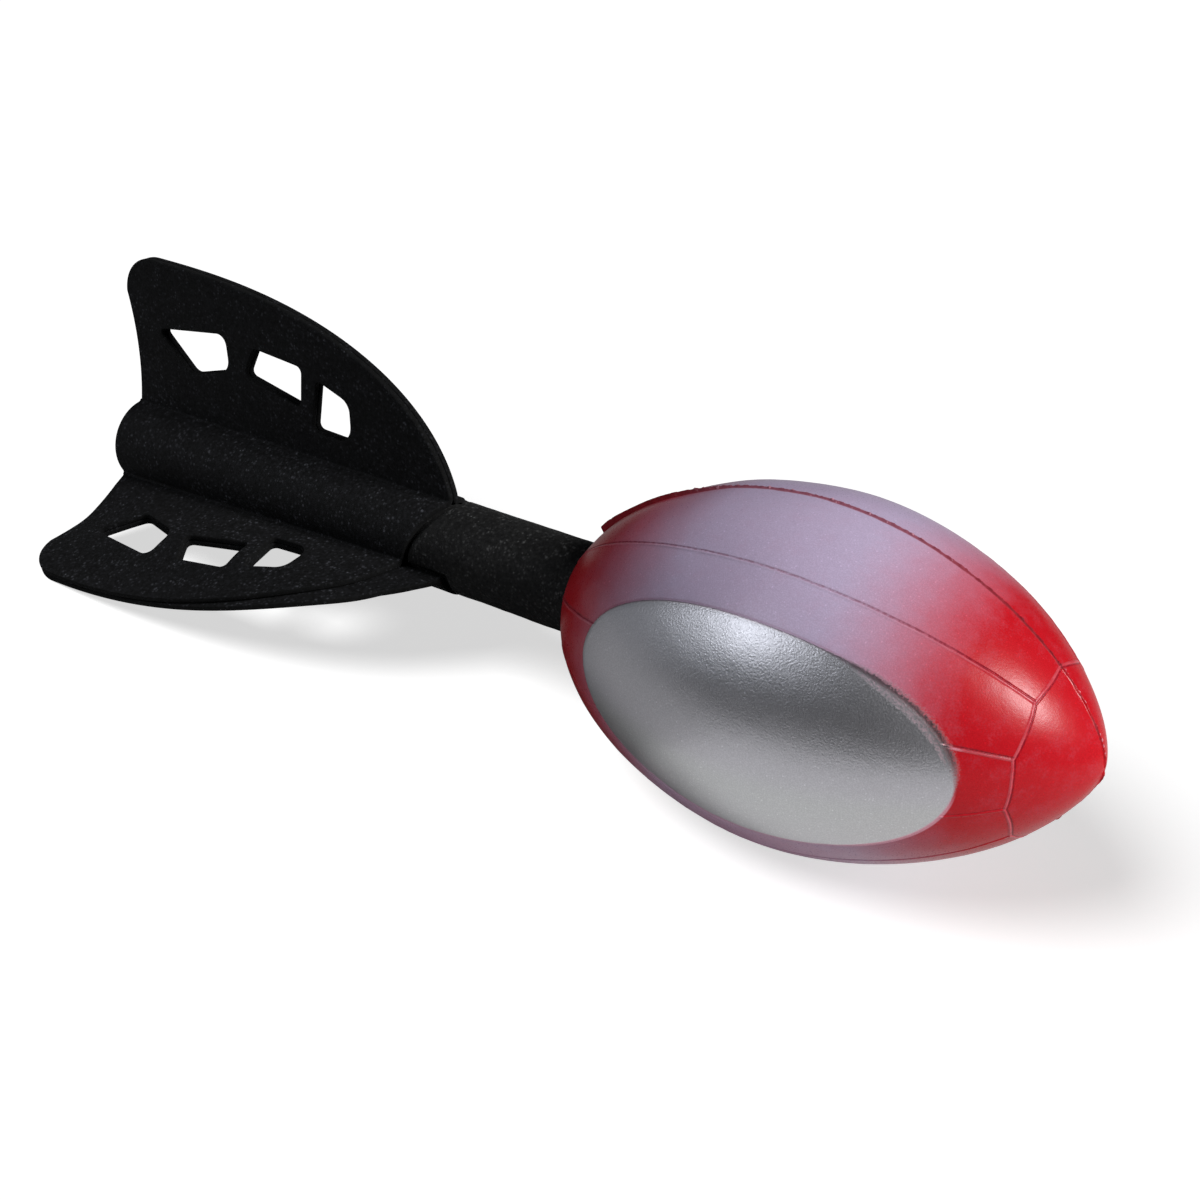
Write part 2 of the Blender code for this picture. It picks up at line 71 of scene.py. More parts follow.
# %% [markdown]
# ## The rocket's own axis
#
# The rocket lies with its nose slightly up, so its axis isn't level. Everything is easier to
# describe along that axis: x is the station, from the tail end at 0 to the nose, y points away
# from the camera, and z points to the upper fin. The frame's record says where the flat tail
# end is and which way it faces, and that is enough to find the axis.

# %% Find the axis
TAIL_MARK_HEIGHT = 0.0075
TO_MILLIMETRES = 1000

tail = frame["record"]["mounts"][0]
tail_axis = np.array(tail["axis"], float)
tail_mark = np.array(tail["pos_m"], float)
along = -tail_axis / np.linalg.norm(tail_axis)
across = np.array([0.0, 1.0, 0.0])
upward = np.cross(along, across)
tail_centre = tail_mark - upward * TAIL_MARK_HEIGHT
turn = np.stack([along, across, upward])


def to_world(points):
    """Turns points given along the axis into the frame's own coordinates."""
    return np.asarray(points, float) @ turn + tail_centre


print("nose up by", round(math.degrees(math.asin(along[2])), 3), "degrees, with the tail end",
      round(tail_centre[2] * TO_MILLIMETRES, 1), "mm above the ground")

# %% [markdown]
# ## The camera
#
# The photograph is taken from ahead of the nose and to one side of it, looking down at almost
# thirty degrees, with a lens of about 53 mm. The camera is slightly rolled, so it is placed by
# its whole matrix. Its columns are the camera's right, up and backward directions.

# %% Place the camera
IMAGE_SIZE = 1200
CAMERA_PLACE = (0.39771, -0.33183, 0.19522)
CAMERA_RIGHT = (0.82654, 0.56069, 0.04951)
CAMERA_DOWN = (0.29129, -0.35082, -0.88999)
FOCAL_PIXELS = 1783.6
OPTICAL_CENTRE = (660.8, 635.4)
SENSOR_WIDTH = 36.0
NEAREST = 0.01
FARTHEST = 50.0

camera_data = bpy.data.cameras.new("photo_camera")
camera_data.sensor_width = SENSOR_WIDTH
camera_data.lens = FOCAL_PIXELS * SENSOR_WIDTH / IMAGE_SIZE
camera_data.shift_x = (IMAGE_SIZE / 2 - OPTICAL_CENTRE[0]) / IMAGE_SIZE
camera_data.shift_y = (OPTICAL_CENTRE[1] - IMAGE_SIZE / 2) / IMAGE_SIZE
camera_data.clip_start = NEAREST
camera_data.clip_end = FARTHEST
camera = bpy.data.objects.new("photo_camera", camera_data)
bpy.context.scene.collection.objects.link(camera)
right = np.array(CAMERA_RIGHT) @ turn
up = -np.array(CAMERA_DOWN) @ turn
back = np.cross(right, up)
place = to_world(CAMERA_PLACE)
rows = [(*row, shift) for row, shift in zip(np.stack([right, up, back], 1), place)]
camera.matrix_world = Matrix(rows + [(0.0, 0.0, 0.0, 1.0)])
bpy.context.scene.camera = camera
print("camera at", np.round(place, 3))

# %% [markdown]
# ## Floor, table and card
#
# The toy was photographed on white, so a pale floor runs far out past the edges of the picture.
# A white floor that lit the toy from below would wash out its dark underside, and it would show
# in the silver oval. So the floor is seen by the camera and by nothing else, and the toy has
# another ground just below it: a grey table with a pale card on it, hidden from the camera.
# They give the oval something to mirror, pale in its lower half and grey above.

# %% Lay the floor, the card and the table
FLOOR_SIZE = 12.0
FLOOR_PALE = 0.60
FLOOR_GLOW = 0.66
CARD_SIZE = (0.70, 0.42)
CARD_MIDDLE = (0.39, 0.0)
CARD_PALE = 0.56
TABLE_SIZE = (1.60, 1.40)
TABLE_MIDDLE = (-0.10, 0.49)
TABLE_PALE = 0.30
DROP = 0.001
STAGE_ROUGHNESS = 0.9
WHITE = (1.0, 1.0, 1.0, 1.0)


def make_plane(name, size, middle, height, pale, glow):
    """A flat stage piece of a plain grey, which may glow."""
    corners = np.array([(-0.5, -0.5), (0.5, -0.5), (0.5, 0.5), (-0.5, 0.5)]) * size + middle
    mesh = bpy.data.meshes.new(name)
    mesh.from_pydata([(*corner, height) for corner in corners], [], [(0, 1, 2, 3)])
    plane = bpy.data.objects.new(name, mesh)
    bpy.context.scene.collection.objects.link(plane)
    plane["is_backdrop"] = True
    paint = bpy.data.materials.new(name)
    paint.use_nodes = True
    shader = paint.node_tree.nodes["Principled BSDF"]
    shader.inputs["Base Color"].default_value = (pale, pale, pale, 1.0)
    shader.inputs["Roughness"].default_value = STAGE_ROUGHNESS
    shader.inputs["Specular IOR Level"].default_value = 0.0
    shader.inputs["Emission Color"].default_value = WHITE
    shader.inputs["Emission Strength"].default_value = glow
    mesh.materials.append(paint)
    return plane


floor = make_plane("white_floor", FLOOR_SIZE, 0.0, 0.0, FLOOR_PALE, FLOOR_GLOW)
floor.visible_diffuse = False
floor.visible_glossy = False
floor.visible_shadow = False
card = make_plane("pale_card", CARD_SIZE, CARD_MIDDLE, -DROP, CARD_PALE, 0.0)
table = make_plane("grey_table", TABLE_SIZE, TABLE_MIDDLE, -2 * DROP, TABLE_PALE, 0.0)
card.visible_camera = False
table.visible_camera = False
print("floor", FLOOR_SIZE, "m wide, and below it a card and a table of", CARD_SIZE, "and", TABLE_SIZE)

# %% [markdown]
# ## Lights
#
# The paint is brightest where it faces the nose, so the main light comes from beyond the nose,
# about forty degrees up, and it is wide, because its shadows are soft. A lamp stands to the
# left of the camera and makes the bright spot high on the silver oval. A wide, weak one, low
# behind the tail, fills the tail's shadows. The floor has a sun of its own, high and towards
# the camera, which lays a soft shadow behind the rocket and to its right.

# %% Hang the lights
KEY_TOWARDS = (0.75, 0.05, 0.63)
KEY_STRENGTH = 4.6
KEY_SPREAD = 23.0
FLOOR_LIGHT_TOWARDS = (-0.28, -0.58, 0.76)
FLOOR_LIGHT_STRENGTH = 2.8
FLOOR_LIGHT_SPREAD = 30.0
SIDE_TOWARDS = (-0.40, -0.69, 0.60)
SIDE_LAMP = (0.92, 5.5)
LEFT_TOWARDS = (-0.85, -0.50, 0.15)
LEFT_LAMP = (1.2, 0.7)
LAMP_TINT = (0.90, 0.94, 1.0)
LIGHT_DISTANCE = 1.6


def place_light(name, data, towards):
    """Puts a light in a direction seen from the rocket, and turns it to the rocket."""
    light = bpy.data.objects.new(name, data)
    bpy.context.scene.collection.objects.link(light)
    aim = np.array(towards) / np.linalg.norm(towards)
    light.location = aim * LIGHT_DISTANCE
    light.rotation_mode = "QUATERNION"
    light.rotation_quaternion = Vector(aim).to_track_quat("Z", "Y")
    return light


def make_sun(name, towards, strength, spread):
    """A far light of a given spread in degrees: the wider, the softer its shadows."""
    data = bpy.data.lights.new(name, "SUN")
    data.energy = strength
    data.angle = math.radians(spread)
    return place_light(name, data, towards)


def make_lamp(name, towards, lamp):
    """A round, slightly blue lamp of a given width and power."""
    data = bpy.data.lights.new(name, "AREA")
    data.shape = "DISK"
    data.size, data.energy = lamp
    data.color = LAMP_TINT
    return place_light(name, data, towards)


key = make_sun("key_light", KEY_TOWARDS, KEY_STRENGTH, KEY_SPREAD)
floor_light = make_sun("floor_light", FLOOR_LIGHT_TOWARDS, FLOOR_LIGHT_STRENGTH, FLOOR_LIGHT_SPREAD)
side_lamp = make_lamp("side_lamp", SIDE_TOWARDS, SIDE_LAMP)
left_lamp = make_lamp("left_lamp", LEFT_TOWARDS, LEFT_LAMP)
key_height = math.asin(KEY_TOWARDS[2] / np.linalg.norm(KEY_TOWARDS))
print("the main light stands", round(math.degrees(key_height)), "degrees up")

# %% [markdown]
# ## What each light reaches
#
# Light linking lets a light reach only some objects. The floor's sun reaches the floor alone,
# and the other lights reach everything but the floor. The surroundings are white, but only for
# the camera: they light nothing and aren't mirrored, so the picture is white past the floor too.

# %% Share out the lights
def link_to_floor(lights, state):
    """Makes lights shine on the white floor only, or on all but the floor."""
    group = bpy.data.collections.new("floor_" + state.lower())
    group.objects.link(floor)
    group.collection_objects[0].light_linking.link_state = state
    for light in lights:
        light.light_linking.receiver_collection = group


link_to_floor([floor_light], "INCLUDE")
link_to_floor([key, side_lamp, left_lamp], "EXCLUDE")

world = bpy.data.worlds.new("studio")
bpy.context.scene.world = world
world.use_nodes = True
world.node_tree.nodes["Background"].inputs["Color"].default_value = WHITE
world.cycles_visibility.diffuse = False
world.cycles_visibility.glossy = False
bpy.context.scene.view_settings.view_transform = "Standard"
print("lights that reach the rocket:", key.name, side_lamp.name, left_lamp.name)

# %% [markdown]
# ## A surface from points
#
# Every piece is a mesh made from whole arrays of points, because its form is known as a formula:
# that gives an even, smooth surface, which is hard to reach by pulling at a box. The helper
# below turns arrays of points and faces into an object that rides on the rocket.

# %% Set up the piece maker
def make_piece(name, points, faces, material, replaced, marks=None):
    """faces is a list of index arrays, each with one face a row, and marks holds values per point.
    """
    mesh = bpy.data.meshes.new(name)
    corners = np.concatenate([block.ravel() for block in faces])
    sizes = np.concatenate([np.full(len(block), block.shape[1]) for block in faces])
    starts = np.concatenate([[0], np.cumsum(sizes)[:-1]])
    mesh.vertices.add(len(points))
    mesh.vertices.foreach_set("co", to_world(points).ravel())
    mesh.loops.add(len(corners))
    mesh.loops.foreach_set("vertex_index", corners.astype(np.int32))
    mesh.polygons.add(len(sizes))
    mesh.polygons.foreach_set("loop_start", starts.astype(np.int32))
    mesh.update(calc_edges=True)
    mesh.validate()
    mesh.shade_smooth()
    for mark, values in (marks or {}).items():
        layer = mesh.attributes.new(mark, "FLOAT", "POINT")
        layer.data.foreach_set("value", np.asarray(values, np.float32))
    mesh.materials.append(material)
    piece = bpy.data.objects.new(name, mesh)
    bpy.context.scene.collection.objects.link(piece)
    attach(piece, "root")
    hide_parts(replaced)
    print(name, "has", len(points), "points and", len(sizes), "faces")
    return piece


print("piece maker ready")

# %% [markdown]
# ## Rings of points, and waves
#
# The head and the tube are stacks of rings round the axis, and quads join each ring to the next.
# Foam is never quite even, so its surfaces get low waves. A sum of sines in many directions is
# smooth, needs no picture, and comes out the same each time, because its directions are drawn
# from a numbered random source.

# %% Join rings and make waves
WAVES_IN_OCTAVE = 6


def ring_quads(rows, columns):
    """Quads between neighbouring rings of points that are numbered ring by ring."""
    index = np.arange(rows * columns).reshape(rows, columns)
    index = np.concatenate([index, index[:, :1]], 1)
    return np.stack([index[:-1, :-1], index[:-1, 1:], index[1:, 1:], index[1:, :-1]], -1).reshape(-1, 4)


def ring_points(station, radius, angle):
    """Points (station, radius cos angle, radius sin angle)."""
    station = np.broadcast_to(station, np.shape(angle))
    return np.stack([station, radius * np.cos(angle), radius * np.sin(angle)], 1)


def waves(points, size, seed, octaves=3):
    """Smooth noise of about -1 to 1: each octave is a sum of sines in turned directions."""
    rng = np.random.default_rng(seed)
    total = np.zeros(len(points))
    for octave in range(octaves):
        turns = rng.normal(size=(WAVES_IN_OCTAVE, 3))
        turns *= (2 * np.pi / size) * 2 ** octave / np.linalg.norm(turns, axis=1, keepdims=True)
        phases = rng.uniform(0, 2 * np.pi, WAVES_IN_OCTAVE)
        total += np.sin(points @ turns.T + phases).sum(1) / (WAVES_IN_OCTAVE / 2) / 2 ** octave
    return total / 2


print("a ring of 10 points joins the next with", len(ring_quads(2, 10)), "quads")

# %% [markdown]
# ## Materials
#
# A material is a small graph of nodes. The helpers below add a node, join it up and give back
# its output, so that a graph reads like a sum.

# %% Set up the sums of a material
def new_material(name):
    """A material with its node tree and its Principled shader."""
    material = bpy.data.materials.new(name)
    material.use_nodes = True
    return material, material.node_tree, material.node_tree.nodes["Principled BSDF"]


def feed(tree, socket, value):
    """Sets a socket to a number or a colour, or links it to another node's output."""
    if isinstance(value, bpy.types.NodeSocket):
        tree.links.new(value, socket)
    else:
        socket.default_value = value


def sums(tree, operation, *values, clamp=False):
    """A math node."""
    node = tree.nodes.new("ShaderNodeMath")
    node.operation = operation
    node.use_clamp = clamp
    for socket, value in zip(node.inputs, values):
        feed(tree, socket, value)
    return node.outputs[0]


def product(tree, first, *others):
    """Several values multiplied one after another."""
    for other in others:
        first = sums(tree, "MULTIPLY", first, other)
    return first


def remainder(tree, value):
    """What is left of 1."""
    return sums(tree, "SUBTRACT", 1.0, value)


def ramp(tree, value, low, high, start=0.0, finish=1.0):
    """Runs smoothly from start to finish as a value goes from low to high."""
    node = tree.nodes.new("ShaderNodeMapRange")
    node.interpolation_type = "SMOOTHSTEP"
    for socket, given in zip(node.inputs, (value, low, high, start, finish)):
        feed(tree, socket, given)
    return node.outputs[0]


print("sums ready")

# %% [markdown]
# ## Colours, marks and patterns
#
# A finish changes over a surface in two ways. Marks are values that a mesh holds at its points,
# such as the distance to a seam, and they put the paint where the form is. Noise and cells are
# patterns in space, measured in the object's own coordinates, and they give the grain.

# %% Set up the patterns of a material
def blend(tree, share, first, second):
    """A colour between two others."""
    node = tree.nodes.new("ShaderNodeMix")
    node.data_type = "RGBA"
    # A mix node has a set of sockets for each kind of value, and 6, 7 and 2 are the colours'
    feed(tree, node.inputs[0], share)
    feed(tree, node.inputs[6], first)
    feed(tree, node.inputs[7], second)
    return node.outputs[2]


def toned(tree, colour, factor):
    """A colour made lighter or darker."""
    node = tree.nodes.new("ShaderNodeVectorMath")
    node.operation = "SCALE"
    tree.links.new(colour, node.inputs[0])
    tree.links.new(factor, node.inputs["Scale"])
    return node.outputs[0]


def mark(tree, name):
    """Values that a mesh holds at its points."""
    node = tree.nodes.new("ShaderNodeAttribute")
    node.attribute_name = name
    return node.outputs["Fac"]


def noise(tree, size, detail=2.0, roughness=0.5):
    """Noise of about a given grain size, in metres."""
    place = tree.nodes.new("ShaderNodeTexCoord")
    node = tree.nodes.new("ShaderNodeTexNoise")
    tree.links.new(place.outputs["Object"], node.inputs["Vector"])
    node.inputs["Scale"].default_value = 1 / size
    node.inputs["Detail"].default_value = detail
    node.inputs["Roughness"].default_value = roughness
    return node.outputs["Fac"]


def cells(tree, size):
    """Distance to the middle of the nearest cell, as a share of the cell size, and its own tone."""
    place = tree.nodes.new("ShaderNodeTexCoord")
    node = tree.nodes.new("ShaderNodeTexVoronoi")
    tree.links.new(place.outputs["Object"], node.inputs["Vector"])
    node.inputs["Scale"].default_value = 1 / size
    tone = tree.nodes.new("ShaderNodeSeparateColor")
    tree.links.new(node.outputs["Color"], tone.inputs[0])
    return node.outputs["Distance"], tone.outputs[0]


def add_bump(tree, shader, height, depth, strength):
    """Bump from a height of 0 to 1 that stands for a depth in metres."""
    node = tree.nodes.new("ShaderNodeBump")
    node.inputs["Strength"].default_value = strength
    node.inputs["Distance"].default_value = depth
    tree.links.new(height, node.inputs["Height"])
    tree.links.new(node.outputs["Normal"], shader.inputs["Normal"])


print("patterns ready")

# %% [markdown]
# ## Foam
#
# The tube and the sheets are black closed-cell foam. Its skin is matt and full of fine pale
# specks where cells catch the light, and the tube shows more of them than the sheets do. A
# pattern of cells in space makes specks of two sizes, with no joins where the surface turns, and
# keeps only the cells with the palest tones. Noise makes the black between them lumpy, and wider
# patches keep all of it uneven. The cut edges are rougher, and painted with shade so dark that
# they show as lines.

# %% Make the foams
SPECK_CELLS = ((0.0012, 1.0, 0.7), (0.0008, 0.5, 0.9))
SPECK_CORE = (0.10, 0.50)
PATCH_SIZE = 0.005
PATCH_SPREAD = (0.35, 0.65)
PATCH_ON_SPECKS = (0.5, 1.0)
PATCH_ON_BLACK = (0.85, 1.15)
LUMP_SIZE = 0.0011
LUMP_SPREAD = (0.3, 0.7)
LUMP_TONES = (0.25, 1.75)
FOAM_GRAIN_SIZE = 0.0006
GRAIN_SPREAD = (0.3, 0.7)
FOAM_ROUGHNESS = (0.62, 0.78)
FOAM_RELIEF = 0.0002
FOAM_RELIEF_STRENGTH = 0.5
SPECK_RELIEF = 0.5
SHEEN_ROUGHNESS = 0.6
# How dark the painted shade on the cut edges is
CUT_PAINTED_SHADE = 0.35
CUT_ROUGHNESS = 0.2


def specks_of(tree, size, share):
    """1 at the middle of the palest of a size of cells, falling to 0 at their sides."""
    distance, tone = cells(tree, size)
    return product(tree, ramp(tree, distance, *SPECK_CORE, 1.0, 0.0), ramp(tree, tone, 1 - share, 1.0))


def foam(name, dark, pale, speck_share, gloss, sheen, tint):
    """Black foam with specks of a paler grey, rougher where it is cut and painted darker there as
    shade.
    """
    material, tree, shader = new_material(name)
    patches = ramp(tree, noise(tree, PATCH_SIZE, 3.0), *PATCH_SPREAD)
    specks = sums(tree, "ADD", *[product(tree, specks_of(tree, size, speck_share * part), strength)
                                 for size, part, strength in SPECK_CELLS])
    specks = sums(tree, "MULTIPLY", specks, ramp(tree, patches, 0.0, 1.0, *PATCH_ON_SPECKS), clamp=True)
    colour = blend(tree, specks, (*[dark * t for t in tint], 1), (*[pale * t for t in tint], 1))
    lumps = ramp(tree, noise(tree, LUMP_SIZE, 2.0), *LUMP_SPREAD, *LUMP_TONES)
    lumps = product(tree, lumps, ramp(tree, patches, 0.0, 1.0, *PATCH_ON_BLACK))
    # The cut edges are painted darker as shade, and the lumps vary the black at random
    shade = product(tree, ramp(tree, mark(tree, "cut"), 0.0, 1.0, 1.0, CUT_PAINTED_SHADE), lumps)
    tree.links.new(toned(tree, colour, shade), shader.inputs["Base Color"])
    grain = noise(tree, FOAM_GRAIN_SIZE, 3.0, 0.6)
    skin = ramp(tree, grain, *GRAIN_SPREAD, *FOAM_ROUGHNESS)
    rough = sums(tree, "MULTIPLY_ADD", mark(tree, "cut"), CUT_ROUGHNESS, skin)
    tree.links.new(rough, shader.inputs["Roughness"])
    shader.inputs["Specular IOR Level"].default_value = gloss
    shader.inputs["Sheen Weight"].default_value = sheen
    shader.inputs["Sheen Roughness"].default_value = SHEEN_ROUGHNESS
    relief = sums(tree, "ADD", grain, product(tree, specks, SPECK_RELIEF))
    add_bump(tree, shader, relief, FOAM_RELIEF, FOAM_RELIEF_STRENGTH)
    return material


tube_foam = foam("tube_foam", dark=0.0042, pale=0.046, speck_share=1.0, gloss=0.18,
                 sheen=0.014, tint=(1.0, 1.0, 1.0))
sheet_foam = foam("sheet_foam", dark=0.0030, pale=0.038, speck_share=0.8, gloss=0.15,
                  sheen=0.006, tint=(0.94, 0.96, 1.12))
print("foams made with", len(tube_foam.node_tree.nodes), "nodes each")

# %% [markdown]
# ## Paint: lilac over red
#
# The head is red foam. Silver lilac was sprayed over its middle, so the red shows at both ends
# and through thin places. The mesh holds a mark, "red", that says where the lilac thins out.
# Noise of two sizes is added to it, because a spray can's drops make the edge cloudy and grainy.

# %% Spray the lilac over the red
RED = (0.45, 0.0070, 0.0130, 1.0)
LILAC = (0.45, 0.365, 0.51, 1.0)
CLOUDS = 0.16
DROPS = 0.14


def red_left_bare(tree, clouds, drops):
    """Share of red at each point, from 0 under the lilac to 1 where there is none."""
    cloudy = sums(tree, "MULTIPLY_ADD", clouds, CLOUDS, -CLOUDS / 2)
    grainy = sums(tree, "MULTIPLY_ADD", drops, DROPS, -DROPS / 2)
    return sums(tree, "ADD", sums(tree, "ADD", mark(tree, "red"), cloudy), grainy, clamp=True)


print("noise moves the edge of the lilac by up to", round((CLOUDS + DROPS) / 2, 2), "of its fade")

# %% [markdown]
# ## Paint: seams and ring
#
# A seam is a fine welt with a furrow beside it. Handling wears its crest light, and the crest also
# gets a painted highlight on the upper side of the head, where the light falls. The furrow shows
# the red, since the spray didn't reach into it, and is painted darker still as shade. The marks
# hold distances in metres, so a line of paint is the places where a distance is small. Seams end
# at the ring and at the oval.

# %% Paint the seams and the ring
# Pink for worn crests and their painted highlight, and dark red for bare furrows and painted shade
PINK_WEAR_AND_HIGHLIGHT = (0.84, 0.42, 0.52, 1.0)
DARK_RED_AND_SHADE = (0.15, 0.006, 0.018, 1.0)
LINE_CORE = 0.45
CREST_LINE = 0.00040
RING_CREST_LINE = 0.00046
CREST_CLOUDS = (0.3, 0.6)
CREST_SHARE = (0.05, 0.15)
FAINT = 0.3
FURROW_SHIFT = 0.00048
FURROW_LINE = 0.00044
RING_FURROW_LINE = 0.00032
FURROW_SHARE = (0.45, 0.60)
RAGGED_SIZE = 0.0010
RAGGED_SPREAD = (0.35, 0.6)
RAGGED_TONES = (0.45, 1.1)
SEAM_STOP_AT_OVAL = 0.0004
SEAM_STOP_AT_RING = 0.0002


def line_mask(tree, distance, middle, half_width):
    """1 along a line on the surface, falling to 0 at its edges."""
    away = sums(tree, "ABSOLUTE", sums(tree, "SUBTRACT", distance, middle))
    return ramp(tree, away, half_width * LINE_CORE, half_width, 1.0, 0.0)


def paint_seams(tree, colour, red_share, clouds):
    """Adds the crests, worn light and with a painted highlight, and the furrows, bare red with painted
    shade. Both are faint in the lilac.
    """
    seam, ring, shine = mark(tree, "seam"), mark(tree, "ring"), mark(tree, "shine")
    on_seam = product(tree, ramp(tree, mark(tree, "oval"), 0.0, SEAM_STOP_AT_OVAL),
                      ramp(tree, ring, -SEAM_STOP_AT_RING, SEAM_STOP_AT_RING, 1.0, 0.0))
    # The crest is worn light, with a painted highlight that the shine mark keeps to the upper side
    crest = product(tree, line_mask(tree, seam, 0.0, CREST_LINE), on_seam, shine)
    crest = sums(tree, "MAXIMUM", crest, line_mask(tree, ring, 0.0, RING_CREST_LINE))
    crest = product(tree, crest, ramp(tree, clouds, *CREST_CLOUDS, *CREST_SHARE))
    crest = sums(tree, "MULTIPLY", crest, ramp(tree, red_share, 0.0, 1.0, FAINT, 1.0), clamp=True)
    colour = blend(tree, crest, colour, PINK_WEAR_AND_HIGHLIGHT)
    # The furrow is bare red, painted darker still as shade
    furrow = product(tree, line_mask(tree, mark(tree, "furrow"), 0.0, FURROW_LINE), on_seam,
                     ramp(tree, shine, 0.0, 1.0, FAINT, 1.0))
    furrow = sums(tree, "MAXIMUM", furrow, line_mask(tree, ring, FURROW_SHIFT, RING_FURROW_LINE))
    ragged = ramp(tree, noise(tree, RAGGED_SIZE, 2.0), *RAGGED_SPREAD, *RAGGED_TONES)
    furrow = product(tree, furrow, ragged, ramp(tree, red_share, 0.0, 1.0, *FURROW_SHARE))
    return blend(tree, furrow, colour, DARK_RED_AND_SHADE)


print("seams are painted", 2 * FURROW_LINE * TO_MILLIMETRES, "mm wide")

# %% [markdown]
# ## Paint: the parting line
#
# Two of the ten seams are where the halves of the mould met. Foam squeezed out there as a thin
# flash, which was torn off unevenly. What is left is painted a darker red than the head. Where it
# was torn short, in the lilac and past the ring, it shows as light dashes.

# %% Paint the parting line
FLASH = (0.20, 0.003, 0.011, 1.0)
FLASH_LINE = 0.0010
FLASH_SHARE = 0.8
TORN_AWAY = (-0.2, 0.3)
DASH_LINE = 0.0006
DASH_SHARE = 0.6
TORN_SHORT = (0.35, 0.65)


def flash_mask(tree, past_ring):
    """1 along the flash, broken where it is torn past the ring."""
    broken = product(tree, past_ring, ramp(tree, mark(tree, "torn"), *TORN_AWAY))
    return product(tree, line_mask(tree, mark(tree, "flash"), 0.0, FLASH_LINE), remainder(tree, broken))


def paint_flash(tree, colour, flash, past_ring, red_share):
    """Adds the dark flash and its light dashes."""
    colour = blend(tree, product(tree, flash, FLASH_SHARE), colour, FLASH)
    worn = sums(tree, "MAXIMUM", remainder(tree, red_share), past_ring)
    dashes = product(tree, line_mask(tree, mark(tree, "flash"), 0.0, DASH_LINE),
                     ramp(tree, mark(tree, "torn"), *TORN_SHORT), worn, DASH_SHARE)
    return blend(tree, dashes, colour, PINK_WEAR_AND_HIGHLIGHT)


print("the flash is painted", 2 * FLASH_LINE * TO_MILLIMETRES, "mm wide")

# %% [markdown]
# ## Paint: the silver oval
#
# Each side has a silver oval, sprayed through a mask. The mask sat close to the foam except at
# the oval's upper front, where the edge is ten times softer, and where it had slipped, a faint
# pink streak is left inside the edge. The mark "oval" is the distance outside the oval's edge,
# so dividing it by the edge's width tells how much silver there is.

# %% Spray the silver
SILVER = (0.68, 0.69, 0.695, 1.0)
# A purple-grey tint for the silver above its middle: a painted reflection
SILVER_REFLECTION_TINT_ABOVE = (0.67, 0.66, 0.70, 1.0)
STREAK = (0.62, 0.38, 0.50, 1.0)
EDGE_WIDTHS = (0.0003, 0.0030)
SPATTER = 0.6
STREAK_LINE = 0.0008
STREAK_SHARE = (0.08, 0.42)
# Painted shade and painted highlight along the oval's edge
RIM_LINE = (0.0001, 0.00050)
SHADE_RIM_SHARE = 0.25
HIGHLIGHT_RIM_SHARE = 0.7


def silver_mask(tree, drops):
    """1 inside the oval, falling to 0 over the width of its edge."""
    width = ramp(tree, mark(tree, "soft"), 0.0, 1.0, *EDGE_WIDTHS)
    spatter = product(tree, sums(tree, "SUBTRACT", drops, 0.5), product(tree, width, SPATTER))
    reach = sums(tree, "DIVIDE", sums(tree, "ADD", mark(tree, "oval"), spatter), width)
    return ramp(tree, reach, -0.5, 0.5, 1.0, 0.0)


def paint_oval(tree, colour, silver, streak):
    """Adds the streak and the silver, and along the edge a painted shade line above and a painted
    highlight rim below.
    """
    colour = blend(tree, streak, colour, STREAK)
    # The silver above its middle gets its painted reflection tint
    reflection_tinted_silver = blend(tree, ramp(tree, mark(tree, "shine"), 0.0, 1.0), SILVER, SILVER_REFLECTION_TINT_ABOVE)
    colour = blend(tree, silver, colour, reflection_tinted_silver)
    # A painted shade line along the upper edge, and a painted highlight rim along the lower one
    rim = line_mask(tree, mark(tree, "oval"), *RIM_LINE)
    for end, share, shade in ((-1.0, SHADE_RIM_SHARE, DARK_RED_AND_SHADE), (1.0, HIGHLIGHT_RIM_SHARE, PINK_WEAR_AND_HIGHLIGHT)):
        here = ramp(tree, mark(tree, "edge"), 0.0, end, 0.0, share)
        colour = blend(tree, product(tree, rim, here), colour, shade)
    return colour


print("the oval's edge is", [width * TO_MILLIMETRES for width in EDGE_WIDTHS], "mm wide")

# %% [markdown]
# ## Paint: the whole coat
#
# Silver is flakes of metal, so it shines like metal, and the red doesn't. Metal is mixed in a
# little before the colour is, or the soft edge would look chalky. The lilac and the silver
# sparkle, and the spray leaves a fine relief, which is deepest in the silver.

# %% Mix the head's paint
DROP_SIZE = 0.00045
CLOUD_SIZE = 0.004
FLECK_SIZE = 0.0003
FLECK_SPREAD = (0.35, 0.75)
FLECK_TONES = (0.92, 1.07)
SPARKLE_SIZE = 0.0007
SPARKLE = 0.3
SPARKLE_CORE = (0.1, 0.4)
SPARKLE_TONE = 0.75
METAL = 0.95
METAL_FROM = 0.45
PAINT_GLOSS = 0.20
PAINT_ROUGHNESS = (0.29, 0.37)
ROUGHNESS_GRAIN = 0.12
FLASH_ROUGHNESS = 0.4
RELIEF_SIZE = 0.0005
RELIEF_SHARE = 0.7
LILAC_RELIEF = 0.25
RELIEF_DEPTH = 0.00010
RELIEF_STRENGTH = 0.60
RING_FADE = 0.001
DROP_SPREAD = (0.35, 0.65)


def sparkles(tree):
    """About 1 everywhere, with light flecks."""
    fleck = ramp(tree, noise(tree, FLECK_SIZE, 1.0), *FLECK_SPREAD, *FLECK_TONES)
    distance, tone = cells(tree, SPARKLE_SIZE)
    sparkle = product(tree, ramp(tree, distance, *SPARKLE_CORE, SPARKLE, 0.0),
                      ramp(tree, tone, SPARKLE_TONE, 1.0))
    return sums(tree, "ADD", fleck, sparkle)


